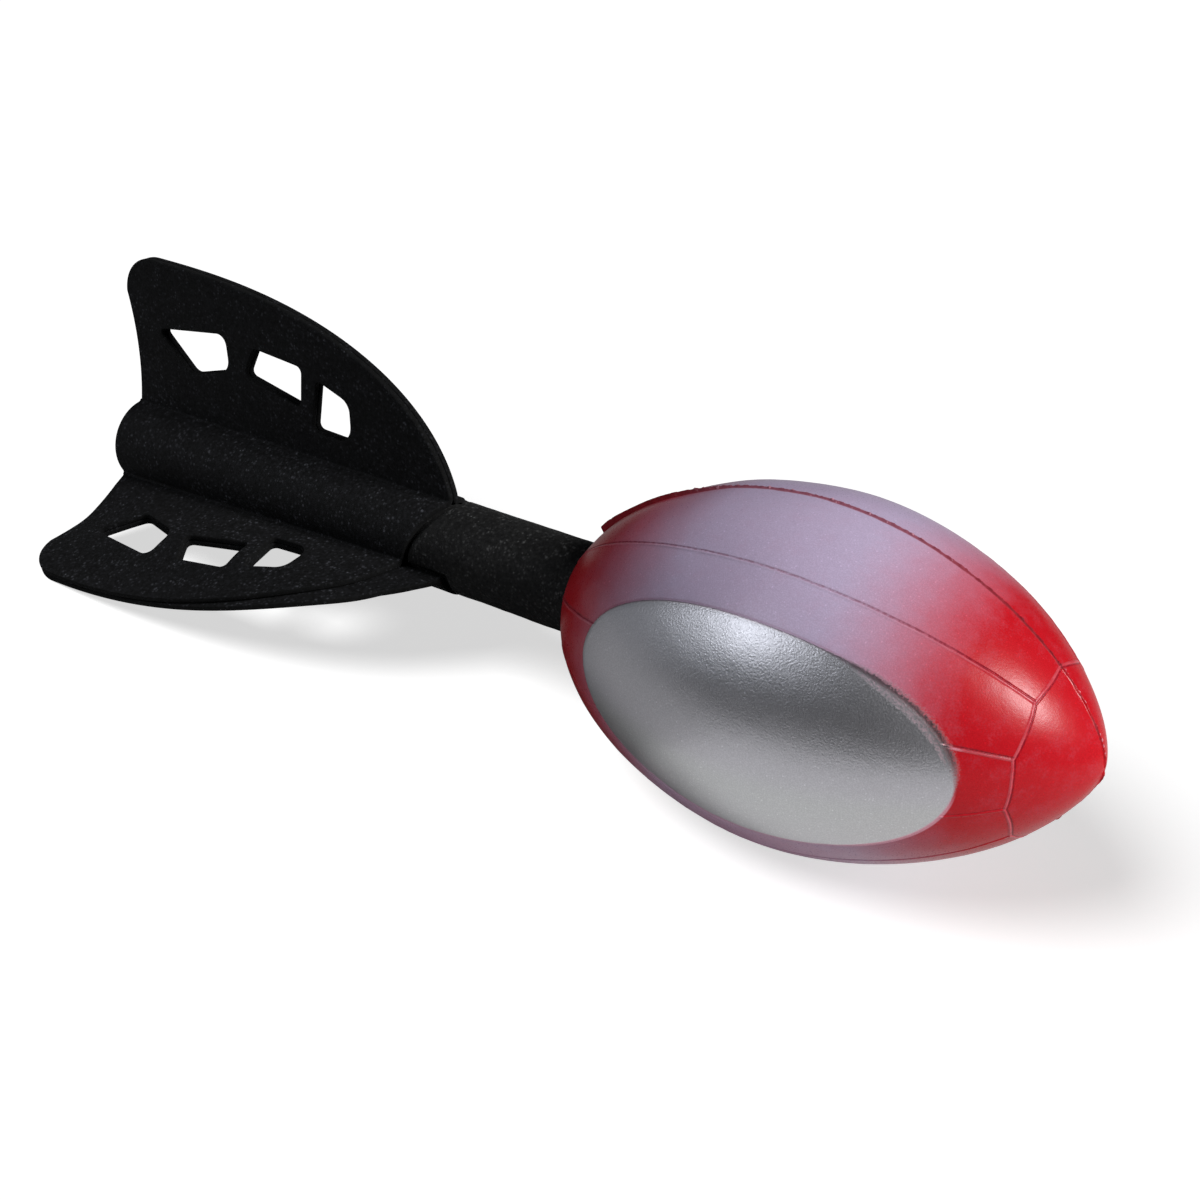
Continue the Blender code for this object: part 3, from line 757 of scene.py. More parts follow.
def coat_roughness(tree, silver, flash, drops):
    """Satin paint, rougher in the silver and much rougher on the torn flash."""
    grain = sums(tree, "MULTIPLY_ADD", drops, ROUGHNESS_GRAIN, -ROUGHNESS_GRAIN / 2)
    satin = sums(tree, "ADD", ramp(tree, silver, 0.0, 1.0, *PAINT_ROUGHNESS), grain)
    return sums(tree, "ADD", satin, product(tree, flash, FLASH_ROUGHNESS))


def make_paint():
    """The head's paint, from the marks that its mesh holds."""
    material, tree, shader = new_material("head_paint")
    drops = noise(tree, DROP_SIZE, 2.0)
    clouds = noise(tree, CLOUD_SIZE, 3.0)
    red_share = red_left_bare(tree, clouds, drops)
    past_ring = ramp(tree, mark(tree, "ring"), 0.0, RING_FADE)
    flash = flash_mask(tree, past_ring)
    streak = product(tree, line_mask(tree, mark(tree, "streak"), 0.0, STREAK_LINE),
                     ramp(tree, drops, *DROP_SPREAD, *STREAK_SHARE))
    silver = product(tree, silver_mask(tree, drops), remainder(tree, streak))
    colour = blend(tree, red_share, LILAC, RED)
    colour = paint_seams(tree, colour, red_share, clouds)
    colour = paint_flash(tree, colour, flash, past_ring, red_share)
    colour = paint_oval(tree, colour, silver, streak)
    tree.links.new(toned(tree, colour, sparkles(tree)), shader.inputs["Base Color"])
    metal = product(tree, ramp(tree, silver, 0.0, METAL_FROM, 0.0, METAL), remainder(tree, streak))
    tree.links.new(metal, shader.inputs["Metallic"])
    tree.links.new(coat_roughness(tree, silver, flash, drops), shader.inputs["Roughness"])
    shader.inputs["Specular IOR Level"].default_value = PAINT_GLOSS
    relief = sums(tree, "MULTIPLY_ADD", noise(tree, RELIEF_SIZE, 3.0), RELIEF_SHARE, drops)
    relief = product(tree, relief, ramp(tree, silver, 0.0, 1.0, LILAC_RELIEF, 1.0))
    add_bump(tree, shader, relief, RELIEF_DEPTH, RELIEF_STRENGTH)
    return material


head_paint = make_paint()
print("paint made with", len(head_paint.node_tree.nodes), "nodes")

# %% [markdown]
# ## The fins' middle surface
#
# The photograph shows that the tail carries the rocket's weight: the upper fin is flat, but the
# two lower fins are twisted along the boom, bent along a line at 33 mm from the axis, and swept
# forwards. A flat sheet could be bent with modifiers, but both layers of a fin must stay
# parallel, so one function gives any point of a fin from its station and its reach.

# %% Shape the fins' surface
WRAP_RADIUS = 0.0117
LAYER_OFFSET = 0.00095
SHEET_THICKNESS = 0.0016
FOLD_RADIUS = 0.0016
FIN_FRONT = 0.120
FIN_REACH = 0.0559
LOWER_ROOT = (-47.0, -20.0, 0.0)
LOWER_INNER_LEAN = (-28.0, -10.0, 11.0)
LOWER_OUTER_LEAN = (-11.0, 4.0, -20.5)
BEND_REACH = 0.0326
BEND_LENGTH = 0.0080
LOWER_SWEEP = 0.0050
SWEEP_START = 0.0180
UPPER, NEAR, FAR = 0, -1, 1


def direction(angle):
    """Unit vectors across the axis."""
    return np.stack([np.cos(angle), np.sin(angle)], -1)


def fin_angles(side, station):
    """Root angle and running angles inside and outside the bend, turning from +y towards +z.

    Each angle goes evenly from its value at the tail to its value at the front, plus a parabola.
    """
    if side == UPPER:
        upright = np.full_like(station, np.pi / 2)
        return upright, upright, upright
    share = station / FIN_FRONT
    found = []
    for tail, front, arch in (LOWER_ROOT, LOWER_INNER_LEAN, LOWER_OUTER_LEAN):
        angle = np.radians(tail + (front - tail) * share + arch * 4 * share * (1 - share))
        found.append(np.pi - angle if side == NEAR else 2 * np.pi + angle)
    return found


def fin_surface(side, station, reach):
    """Points (y, z) and normals of a fin's middle surface, and the swept station.

    The fin runs straight from its root, then round an arc at the bend, then straight again.
    """
    swept = station.copy()
    if side != UPPER:
        swept += LOWER_SWEEP * np.maximum(0, (reach - SWEEP_START) / (FIN_REACH - SWEEP_START))
    root, inner, outer = fin_angles(side, swept)
    begin = BEND_REACH - BEND_LENGTH / 2
    bent = np.clip(reach - begin, 0, BEND_LENGTH)
    turned = (outer - inner) * bent / BEND_LENGTH
    chord = bent * np.sinc(turned / 2 / np.pi)
    place = direction(root) * WRAP_RADIUS
    place += direction(inner) * (np.minimum(reach, begin) - WRAP_RADIUS)[:, None]
    place += direction(inner + turned / 2) * chord[:, None]
    place += direction(outer) * np.maximum(0, reach - begin - BEND_LENGTH)[:, None]
    return swept, place, direction(inner + turned + np.pi / 2)


tip = fin_surface(NEAR, np.array([0.0]), np.array([0.05]))[1]
print("a lower fin 50 mm out at the tail, in millimetres:", np.round(tip * TO_MILLIMETRES, 1))

# %% [markdown]
# ## The folds
#
# Where a sheet leaves the tube to become a wing, it turns outwards in a tight fold. The fold is
# an arc that touches the sheet round the tube on one side and the wing on the other, and the two
# places follow from where the wing's layer lies. A Bevel modifier could round a sharp corner
# there, but an arc that is worked out also says where the wing begins.

# %% Find the folds
def fold_of(side, station, turn):
    """Centre of the fold where a fin's layer turns on to the boom, and the reach where it ends.

    The centre lies a fold radius above the layer, and a fold radius outside the wrap.
    """
    root, inner, _ = fin_angles(side, station)
    normal = direction(inner + np.pi / 2)
    foot = direction(root) * WRAP_RADIUS
    across = (foot * normal).sum(1) + turn * (LAYER_OFFSET + FOLD_RADIUS)
    out = np.sqrt((WRAP_RADIUS + FOLD_RADIUS) ** 2 - across ** 2)
    along = direction(inner)
    centre = normal * across[:, None] + along * out[:, None]
    return centre, WRAP_RADIUS + out - (foot * along).sum(1)


fold_end = fold_of(UPPER, np.array([0.06]), 1)[1][0]
print("the upper fin leaves its fold", round(fold_end * TO_MILLIMETRES, 2), "mm from the axis")

# %% [markdown]
# ## From a flat sheet to a folded one
#
# A sheet is drawn flat, as it was die-cut: its station along the boom, and its walk across, from
# one wing over the boom to the other wing. Then each point is carried to its place: round the
# boom, round a fold, or out on a wing. That is how the real sheet is made, and so its edges and
# windows come out right without any cutting in space.

# %% Fold a flat sheet
HALF_WRAP = 0.012
FOLD_WALK = 0.006


def angle_of(points):
    """Angle of each point (y, z) round the axis."""
    return np.arctan2(points[:, 1], points[:, 0])


def fold_sheet(first, second, flat):
    """Carries flat points (station, walk) to their place on the sheet, with their normals."""
    station, walk = flat[:, 0].copy(), flat[:, 1]
    place = np.zeros((len(flat), 2))
    normal = np.zeros((len(flat), 2))
    ends = []
    for side, turn in ((first, 1), (second, -1)):
        centre, low = fold_of(side, station, turn)
        ends.append((side, turn, centre, low, angle_of(centre)))
    # Round the boom, from one fold to the other
    begin = ends[0][4]
    sweep = (ends[1][4] - begin) % (2 * np.pi)
    share = np.clip((walk + HALF_WRAP) / (2 * HALF_WRAP), 0, 1)
    normal[:] = direction(begin + sweep * share)
    place[:] = normal * WRAP_RADIUS
    for (side, turn, centre, low, _), away in zip(ends, (-walk, walk)):
        # Round the fold: from straight below the fold's centre to where the wing leaves it
        in_fold = away > HALF_WRAP
        _, root_place, root_normal = fin_surface(side, station, low)
        start = angle_of(-centre)
        finish = angle_of(root_place + root_normal * turn * LAYER_OFFSET - centre)
        bend = (finish - start + np.pi) % (2 * np.pi) - np.pi
        part = np.clip((away - HALF_WRAP) / FOLD_WALK, 0, 1)
        out = direction(start + bend * part)
        place[in_fold] = (centre + out * FOLD_RADIUS)[in_fold]
        normal[in_fold] = -out[in_fold]
        # Out on the wing
        on_wing = away > HALF_WRAP + FOLD_WALK
        reach = low + away - HALF_WRAP - FOLD_WALK
        swept, wing_place, wing_normal = fin_surface(side, station, reach)
        place[on_wing] = (wing_place + wing_normal * turn * LAYER_OFFSET)[on_wing]
        normal[on_wing] = (wing_normal * turn)[on_wing]
        station[on_wing] = swept[on_wing]
    points = np.concatenate([station[:, None], place], 1)
    normals = np.concatenate([np.zeros((len(flat), 1)), normal], 1)
    return points, normals


trial = fold_sheet(UPPER, NEAR, np.array([[0.06, 0.0], [0.06, 0.03]]))[0]
print("two points of the left sheet, in millimetres:", np.round(trial * TO_MILLIMETRES, 1).tolist())

# %% [markdown]
# ## The die-cut outline
#
# Each wing has a rounded tip at its tail, a trailing edge that is a little hollow, and a leading
# edge of the form reach = R (1 - x^p)^q, which is steep at its front end. A curve with two
# exponents follows the photograph's edge with far fewer numbers than a row of points would. On
# the flat sheet the walk to a point of a wing is its distance out from the end of the fold.

# %% Draw the outline of a wing
TIP_STATION = 0.0097
TIP_RADIUS = 0.0109
FIN_TAIL = 0.0010
TRAILING_HOLLOW = 0.0017
LEADING_CURVE = (2.45, 0.44)
FIN_NIB = 0.0007
FLARE_REACH = 0.0250
TRAILING_POINTS = 40
TIP_POINTS = 20
LEADING_POINTS = 160


def flat_wing(side, turn, points):
    """Walk out from the middle of the sheet for points (station, reach) of a wing."""
    _, low = fold_of(side, points[:, 0], turn)
    walk = HALF_WRAP + FOLD_WALK + points[:, 1] - low
    return np.stack([points[:, 0], -turn * walk], 1)


def wing_outline(side, turn, front, flare):
    """Outline (station, reach) of a wing from its root's tail end to its root's front end."""
    share = np.linspace(0, 1, TRAILING_POINTS)[:, None]
    low = fold_of(side, np.array([FIN_TAIL]), turn)[1][0]
    corner = np.array([TIP_STATION - TIP_RADIUS, FIN_REACH - TIP_RADIUS])
    trailing = np.array([FIN_TAIL, low]) * (1 - share) + corner * share
    trailing[:, :1] += TRAILING_HOLLOW * 4 * share * (1 - share)
    angle = np.linspace(np.pi, np.pi / 2, TIP_POINTS)
    tip = np.stack([TIP_STATION + TIP_RADIUS * np.cos(angle),
                    FIN_REACH - TIP_RADIUS * (1 - np.sin(angle))], 1)
    p, q = LEADING_CURVE
    low = fold_of(side, np.array([front]), turn)[1][0] + FIN_NIB
    last = (1 - (low / FIN_REACH) ** (1 / q)) ** (1 / p)
    x = np.sin(np.linspace(0, np.arcsin(last), LEADING_POINTS))
    reach = FIN_REACH * (1 - x ** p) ** q
    station = TIP_STATION + (front - TIP_STATION) * x
    station += flare * np.maximum(0, (FLARE_REACH - reach) / (FLARE_REACH - low))
    return np.concatenate([trailing[:-1], tip[:-1], np.stack([station, reach], 1)])


print("outline of the upper fin:", wing_outline(UPPER, 1, FIN_FRONT, 0.0).shape[0], "points")

# %% [markdown]
# ## The windows
#
# Three windows are punched through each wing, and they follow its leading edge. Each has four
# corners, given by station, reach and rounding. A punch has no sharp corners, so an arc that
# touches both sides takes the place of each corner. A Boolean modifier could cut the windows out
# of a folded sheet, but one that is drawn on the flat sheet can be given a soft edge.

# %% Draw the windows
WINDOWS = (
    (((0.0105, 0.0362), 0.0012), ((0.0375, 0.0402), 0.0030), ((0.0386, 0.0300), 0.0040),
     ((0.0230, 0.0255), 0.0035)),
    (((0.0443, 0.0300), 0.0014), ((0.0485, 0.0386), 0.0016), ((0.0662, 0.0372), 0.0018),
     ((0.0655, 0.0258), 0.0016)),
    (((0.0695, 0.0203), 0.0016), ((0.0716, 0.0350), 0.0016), ((0.0832, 0.0312), 0.0040),
     ((0.0838, 0.0198), 0.0045)),
)
CORNER_POINTS = 9


def window_outline(corners):
    """Outline of a window: its corners rounded by arcs that touch both sides."""
    points = []
    for number, (corner, radius) in enumerate(corners):
        corner = np.array(corner)
        before = np.array(corners[number - 1][0]) - corner
        after = np.array(corners[(number + 1) % len(corners)][0]) - corner
        before /= np.linalg.norm(before)
        after /= np.linalg.norm(after)
        half = math.acos(before @ after) / 2
        middle = (before + after) / np.linalg.norm(before + after)
        centre = corner + middle * radius / math.sin(half)
        start = corner + before * radius / math.tan(half) - centre
        finish = corner + after * radius / math.tan(half) - centre
        arc = math.acos(start @ finish / radius ** 2)
        share = np.linspace(0, 1, CORNER_POINTS)[:, None]
        turned = start * np.sin((1 - share) * arc) + finish * np.sin(share * arc)
        points.append(centre + turned / math.sin(arc))
    return np.concatenate(points)


print("outline of a window:", len(window_outline(WINDOWS[0])), "points")

# %% [markdown]
# ## The sheet's edges, walked evenly
#
# Two wings, the front edge and the tail edge between them make one closed loop, and each window
# is a loop of its own. All loops are walked again at an even step, so that the mesh along the
# edges is even and a cut edge can be built on it. The outer loop runs counter-clockwise and the
# windows clockwise, so the sheet is always on the left.

# %% Walk the sheet's edges
SLEEVE_TAIL = 0.0005
EDGE_STEP = 0.0006
ROOT_POINTS = 41


def even_loop(points, step):
    """The same closed loop with points at an even step."""
    closed = np.concatenate([points, points[:1]])
    length = np.concatenate([[0], np.cumsum(np.linalg.norm(np.diff(closed, axis=0), axis=1))])
    count = int(round(length[-1] / step))
    at = np.linspace(0, length[-1], count, endpoint=False)
    return np.stack([np.interp(at, length, closed[:, axis]) for axis in (0, 1)], 1)


def turned_to(loop, sign):
    """The loop run so that its area has a given sign: plus is counter-clockwise."""
    x, y = loop.T
    area = (x * np.roll(y, -1) - y * np.roll(x, -1)).sum() / 2
    return loop if area * sign > 0 else loop[::-1]


def sheet_loops(first, second, fronts, flare):
    """The sheet's outer loop, counter-clockwise, and its windows, clockwise."""
    wings = []
    windows = []
    for side, turn, front in ((first, 1, fronts[0]), (second, -1, fronts[1])):
        wings.append(flat_wing(side, turn, wing_outline(side, turn, front, flare)))
        for corners in WINDOWS:
            window = even_loop(flat_wing(side, turn, window_outline(corners)), EDGE_STEP)
            windows.append(turned_to(window, -1))
    share = np.linspace(0, 1, ROOT_POINTS)[1:-1]
    ease = share * share * (3 - 2 * share)
    begin, end = wings[0][-1], wings[1][-1]
    front_edge = np.stack([begin[0] + (end[0] - begin[0]) * ease,
                           begin[1] + (end[1] - begin[1]) * share], 1)
    begin, end = wings[1][0], wings[0][0]
    tail_edge = np.stack([np.full(len(share), SLEEVE_TAIL), begin[1] + (end[1] - begin[1]) * share], 1)
    outer = even_loop(np.concatenate([wings[0], front_edge, wings[1][::-1], tail_edge]), EDGE_STEP)
    return [turned_to(outer, 1)] + windows


print("edges are walked at", EDGE_STEP * TO_MILLIMETRES, "mm")

# %% [markdown]
# ## The flat sheet, filled
#
# A sheet that will be folded needs points all over, not only at its edges. A lattice of points is
# laid between the loops, every second row shifted by half a step, and all of them are joined
# into triangles that keep the loops as edges.

# %% Fill the flat sheet
LATTICE_STEP = 0.0009
EDGE_CLEARANCE = 0.0006
JOIN_TOLERANCE = 1e-6


def moved_inward(loop, distance):
    """A loop moved to its left, along its averaged normals."""
    along = np.roll(loop, -1, 0) - np.roll(loop, 1, 0)
    along /= np.linalg.norm(along, axis=1, keepdims=True)
    return loop + np.stack([-along[:, 1], along[:, 0]], 1) * distance


def is_inside(points, loop):
    """Whether points lie inside a closed loop, by counting the edges crossed to one side."""
    crossings = np.zeros(len(points), int)
    for (x0, y0), (x1, y1) in zip(loop, np.roll(loop, -1, 0)):
        if y0 == y1:
            continue
        between = (points[:, 1] >= min(y0, y1)) & (points[:, 1] < max(y0, y1))
        crossings += between & (points[:, 0] < x0 + (points[:, 1] - y0) * (x1 - x0) / (y1 - y0))
    return crossings % 2 == 1


def lattice_between(loops):
    """A lattice of equal triangles' corners, kept clear of the loops."""
    low, high = loops[0].min(0), loops[0].max(0)
    x, y = np.meshgrid(np.arange(low[0], high[0], LATTICE_STEP),
                       np.arange(low[1], high[1], LATTICE_STEP * math.sqrt(0.75)))
    x[1::2] += LATTICE_STEP / 2
    lattice = np.stack([x.ravel(), y.ravel()], 1)
    lattice = lattice[is_inside(lattice, moved_inward(loops[0], EDGE_CLEARANCE))]
    for loop in loops[1:]:
        lattice = lattice[~is_inside(lattice, moved_inward(loop, EDGE_CLEARANCE))]
    return lattice


def fill_sheet(loops):
    """Points and triangles between the loops. The loops' points come first, in their order."""
    points = np.concatenate(loops + [lattice_between(loops)])
    edges = []
    start = 0
    for loop in loops:
        number = np.arange(len(loop))
        edges.append(np.stack([start + number, start + (number + 1) % len(loop)], 1))
        start += len(loop)
    found = delaunay_2d_cdt([Vector(point) for point in points * TO_MILLIMETRES],
                            np.concatenate(edges).tolist(), [], 1, JOIN_TOLERANCE)
    triangles = np.array(found[2])
    middles = points[triangles].mean(1)
    keep = np.ones(len(triangles), bool)
    for loop in loops[1:]:
        keep &= ~is_inside(middles, loop)
    return points, triangles[keep]


print("the lattice is laid at", LATTICE_STEP * TO_MILLIMETRES, "mm")

# %% [markdown]
# ## The cut edges
#
# The sheet gets its thickness from a layer of points on each side of its middle surface. Foam
# that is cut with a die has edges that are a little rounded, so the two layers end just short of
# the outline, and a few rows of points lead round the edge from one layer to the other. The rows
# follow a superellipse, which is flatter along the cut than a circle would be.

# %% Give a sheet its thickness
CUT_ROUNDING = 0.00035
RIM_STEPS = 6
RIM_FULLNESS = (0.6, 0.8)
DENT_SIZE = 0.012
DENT_HEIGHT = 0.00012


def rim_rows(first, second, loop, inner_loop):
    """The rows of points that lead round a cut edge, from the upper layer to the lower one."""
    edge_in, normals = fold_sheet(first, second, inner_loop)
    edge_out = fold_sheet(first, second, loop)[0]
    rows = []
    for step in range(1, RIM_STEPS):
        angle = np.pi * step / RIM_STEPS
        reach = abs(math.sin(angle)) ** RIM_FULLNESS[0]
        height = math.copysign(abs(math.cos(angle)) ** RIM_FULLNESS[1], math.cos(angle))
        rows.append(edge_in + (edge_out - edge_in) * reach + normals * SHEET_THICKNESS / 2 * height)
    return rows


def make_sheet(name, first, second, fronts, flare, material):
    """One folded sheet with its thickness and its rounded edges."""
    loops = sheet_loops(first, second, fronts, flare)
    inner_loops = [moved_inward(loop, CUT_ROUNDING) for loop in loops]
    flat, triangles = fill_sheet(inner_loops)
    middle, normals = fold_sheet(first, second, flat)
    # The length of the name is the seed, so each sheet has dents of its own
    dents = waves(middle, DENT_SIZE, len(name))[:, None] * DENT_HEIGHT
    half = SHEET_THICKNESS / 2
    points = [middle + normals * (half + dents / 2), middle - normals * (half - dents / 2)]
    faces = [triangles, triangles[:, ::-1] + len(flat)]
    start = 0
    total = 2 * len(flat)
    for loop, inner_loop in zip(loops, inner_loops):
        ring = np.arange(len(loop))
        numbers = [start + ring]
        for row in rim_rows(first, second, loop, inner_loop):
            points.append(row)
            numbers.append(total + ring)
            total += len(loop)
        numbers.append(start + len(flat) + ring)
        for upper, lower in zip(numbers[:-1], numbers[1:]):
            faces.append(np.stack([upper, lower, np.roll(lower, -1), np.roll(upper, -1)], 1))
        start += len(loop)
    cut = np.zeros(total)
    cut[2 * len(flat):] = 1.0
    return make_piece(name, np.concatenate(points), faces, material,
                      name.replace("folded_", "fin_"), {"cut": cut})


print("a cut edge has", RIM_STEPS - 1, "rows")

# %% [markdown]
# ## The three sheets
#
# Each sheet wraps a third of the tube and ends in two wings, so each fin is two wings back to
# back. The lower wings of the side sheets start a little further back than the bottom sheet's,
# whose front edge flares forwards at its roots. One sheet can't be turned round the boom to make
# the others, since the upper fin is flat and the lower ones are bent, so all three are folded.

# %% Make the three sheets
SIDE_SHEET_SETBACK = 0.0080
BOTTOM_SHEET_FLARE = 0.0050
SHORT_FRONT = FIN_FRONT - SIDE_SHEET_SETBACK
make_sheet("folded_sheet_left", UPPER, NEAR, (FIN_FRONT, SHORT_FRONT), 0.0, sheet_foam)
make_sheet("folded_sheet_right", FAR, UPPER, (SHORT_FRONT, FIN_FRONT), 0.0, sheet_foam)
make_sheet("folded_sheet_bottom", NEAR, FAR, (FIN_FRONT, FIN_FRONT), BOTTOM_SHEET_FLARE, sheet_foam)

# %% [markdown]
# ## The head's form
#
# The head is a turned form. In front of its widest section and behind it, the radius follows
# r = R (1 - x^p)^q, with x the share of the way to the end. A stretched sphere would be too
# blunt at the nose. Here two exponents for each end set how full it is and how pointed.

# %% Shape the head's outline
HEAD_RADIUS = 0.0429
HEAD_WIDEST = 0.2277
NOSE_LENGTH = 0.0723
NOSE_CURVE = (1.907, 0.647)
REAR_LENGTH = 0.0667
REAR_CURVE = (1.80, 0.465)
LIP_RADIUS = 0.0133
NOSE_STATION = HEAD_WIDEST + NOSE_LENGTH
SLOPE_STEP = 1e-6


def head_radius(station):
    """Radius of the bare head."""
    in_nose = station >= HEAD_WIDEST
    x = np.abs(station - HEAD_WIDEST) / np.where(in_nose, NOSE_LENGTH, REAR_LENGTH)
    p = np.where(in_nose, NOSE_CURVE[0], REAR_CURVE[0])
    q = np.where(in_nose, NOSE_CURVE[1], REAR_CURVE[1])
    return HEAD_RADIUS * (1 - np.minimum(x, 1) ** p) ** q


def outline_slope(station):
    """How the radius changes along the axis."""
    rise = head_radius(station + SLOPE_STEP) - head_radius(station - SLOPE_STEP)
    return rise / (2 * SLOPE_STEP)


p, q = REAR_CURVE
HEAD_REAR = HEAD_WIDEST - REAR_LENGTH * (1 - (LIP_RADIUS / HEAD_RADIUS) ** (1 / q)) ** (1 / p)
print("head from", round(HEAD_REAR, 4), "to", round(NOSE_STATION, 4), "m")

# %% [markdown]
# ## The head's rows and columns
#
# The seams and the ring are only half a millimetre wide, and the rest of the head is smooth.
# A mesh that is fine enough for them all over would take ten times the points. So it is finer
# only where they run: its rows are placed by their distance along the outside and crowd at the
# ring of the nose, and its columns crowd at the ten seams.

# %% Set out the head's rows and columns
SEAM_COUNT = 10
SEAM_STEP = 2 * np.pi / SEAM_COUNT
RING_STATION = NOSE_STATION - 0.0136
RING_BAND = (0.0003, 0.0016)
ROW_STEP = 0.0005
FINE_STEP = 0.00013
COLUMN_STEP = 0.00073
SEAM_BAND = 0.0009
SEAM_BAND_FADE = 0.002
POLE_GAP = 0.00002
TRIAL_STEPS = 40000


def plateau(value, middle, half_width):
    """A rise of height 1 with a broad top: exp of minus the fourth power of the distance."""
    return np.exp(-(((value - middle) / half_width) ** 4))


def crowded(low, high, step_at):
    """Values from low to high whose steps follow step_at."""
    fine = np.linspace(low, high, TRIAL_STEPS + 1)
    count = np.concatenate([[0], np.cumsum(np.diff(fine) / step_at((fine[1:] + fine[:-1]) / 2))])
    return np.interp(np.linspace(0, count[-1], int(round(count[-1])) + 1), count, fine)


def row_step(station):
    """Step along the axis that gives an even step along the outside, finer at the ring."""
    near_ring = plateau(station, RING_STATION + RING_BAND[0], RING_BAND[1])
    step = ROW_STEP + (FINE_STEP - ROW_STEP) * near_ring
    return step / np.hypot(1, outline_slope(station))


def column_step(angle):
    """Step round the head, fine near a seam at angle 0."""
    away = np.clip((np.abs(angle) * HEAD_RADIUS - SEAM_BAND) / SEAM_BAND_FADE, 0, 1)
    return (FINE_STEP + (COLUMN_STEP - FINE_STEP) * away) / HEAD_RADIUS


def column_angles():
    """Angles round the head, crowded at the seams."""
    panel = crowded(-SEAM_STEP / 2, SEAM_STEP / 2, column_step)[:-1]
    return (np.pi / 2 + SEAM_STEP * np.arange(SEAM_COUNT)[:, None] + panel).ravel() % (2 * np.pi)


head_rows = crowded(HEAD_REAR, NOSE_STATION - POLE_GAP, row_step)
head_columns = column_angles()
print("the head has", len(head_rows), "rows and", len(head_columns), "columns")

# %% [markdown]
# ## The oval
#
# The oval on each side is an ellipse seen from the side, a little flatter above than below, and
# it leans. A place on the head is turned into shares of its half length and half height, so the
# edge is where the two shares make 1, and dividing by how fast they change gives a distance.

# %% Find the oval
SEAM_SAG = math.radians(5.3)
OVAL_STATION = 0.2306
OVAL_HALF_LENGTH = 0.0470
OVAL_HALF_HEIGHTS = (0.0262, 0.0248)
OVAL_LIFT = 0.0015
OVAL_LEAN = -0.10
OVAL_DEEPEST = -0.02
SMALLEST = 1e-6


def on_head(angle):
    """The angle on the head for an even angle: the lower seams sit up to 5 degrees higher."""
    lower = np.sign(np.cos(angle)) * (np.sin(angle) < 0)
    return angle + lower * SEAM_SAG * np.sin(2 * angle) ** 2


def in_oval(station, angle):
    """Place in the oval as shares of its half length and half height, and that half height."""
    z = head_radius(station) * np.sin(on_head(angle)) - OVAL_LIFT
    half_height = np.where(z < 0, *OVAL_HALF_HEIGHTS)
    return (station - OVAL_STATION - OVAL_LEAN * z) / OVAL_HALF_LENGTH, z / half_height, half_height


def oval_distance(station, angle):
    """Distance outside the oval's edge, negative inside it: (level - 1) / steepness."""
    x, z, half_height = in_oval(station, angle)
    level = np.hypot(x, z)
    steepness = np.hypot(x / OVAL_HALF_LENGTH, z / half_height) / np.maximum(level, SMALLEST)
    return np.maximum((level - 1) / np.maximum(steepness, SMALLEST), OVAL_DEEPEST)


middle_depth = -oval_distance(np.array([OVAL_STATION]), np.array([0.0]))[0]
print("the oval's middle is", round(middle_depth * TO_MILLIMETRES), "mm inside its edge")

# %% [markdown]
# ## Seams and ring
#
# Ten seams run along the head. The upper and the lower one are the mould's parting line, which
# goes on to the nose. The others end at a ring with ten straight sides that closes the nose. All
# of them are distances over the surface, which shape the foam and which the paint uses again.

# %% Lay the seams on the head
RING_FLATNESS = 0.6
LEAST_SLOPE = 0.4
NO_LINE = 0.01


def seam_distance(station, angle):
    """Distance to the nearest seam, towards its upper side, and whether it is a parting line."""
    number = np.round((angle - np.pi / 2) / SEAM_STEP)
    from_seam = angle - np.pi / 2 - number * SEAM_STEP
    upwards = np.where(np.cos(angle) > 0, 1.0, -1.0)
    return from_seam * head_radius(station) * upwards, number % (SEAM_COUNT // 2) == 0


def ring_distance(station, angle):
    """Distance past the ring, towards the nose.

    The ring's radius is R (cos(half a step) / cos(angle from a side's middle))^flatness, so its
    sides come nearer to the axis than its corners do.
    """
    number = np.round((angle - np.pi / 2) / SEAM_STEP)
    from_side = np.abs(angle - np.pi / 2 - number * SEAM_STEP) - SEAM_STEP / 2
    corner_radius = head_radius(np.array([RING_STATION]))[0]
    ring_radius = corner_radius * (np.cos(SEAM_STEP / 2) / np.cos(from_side)) ** RING_FLATNESS
    slope = outline_slope(station)
    ring = (ring_radius - head_radius(station)) * np.hypot(1, slope) / np.maximum(LEAST_SLOPE, -slope)
    return np.where(station < HEAD_WIDEST, -NO_LINE, ring)


ring_side = ring_distance(np.array([RING_STATION]), np.array([np.pi / 2 + SEAM_STEP / 2]))[0]
print("the ring's sides lie up to", round(-ring_side * TO_MILLIMETRES, 2), "mm before its corners")

# %% [markdown]
# ## Where the paint thins
#
# The lilac fades into the red over 38 mm at each end. The red also shows along the rear of the
# parting line, where the flash kept the spray off, and faintly on the underside. Round the oval,
# an angle tells the parts of its edge apart. All this could be painted on a picture by hand, but
# shares that are worked out at the mesh's points need no picture and change with a number.

# %% Spray the head
LILAC_REAR = 0.191
LILAC_FRONT = 0.259
LILAC_FADE = 0.019
LOWER_SHIFT = (0.010, 0.004)
BELLY_RED = 0.28
# Degrees below the middle between which each comes in
LOWER_PART = (0, 45)
BELLY_PART = (20, 50)
FLASH_RED_WIDTH = 0.0030
FLASH_RED_END = (0.182, 0.207)
# Angles round the oval, in degrees from its front end upwards: a middle and a half width
SOFT_EDGE = (30, 32)
STREAK_PART = (33, 30)
STREAK_FADE = 0.0012
# How far the streak lies inside the edge, the angle where that ends and how long it fades
STREAK_SHIFT = 0.0014
STREAK_SHIFT_FADE = (80, 50)
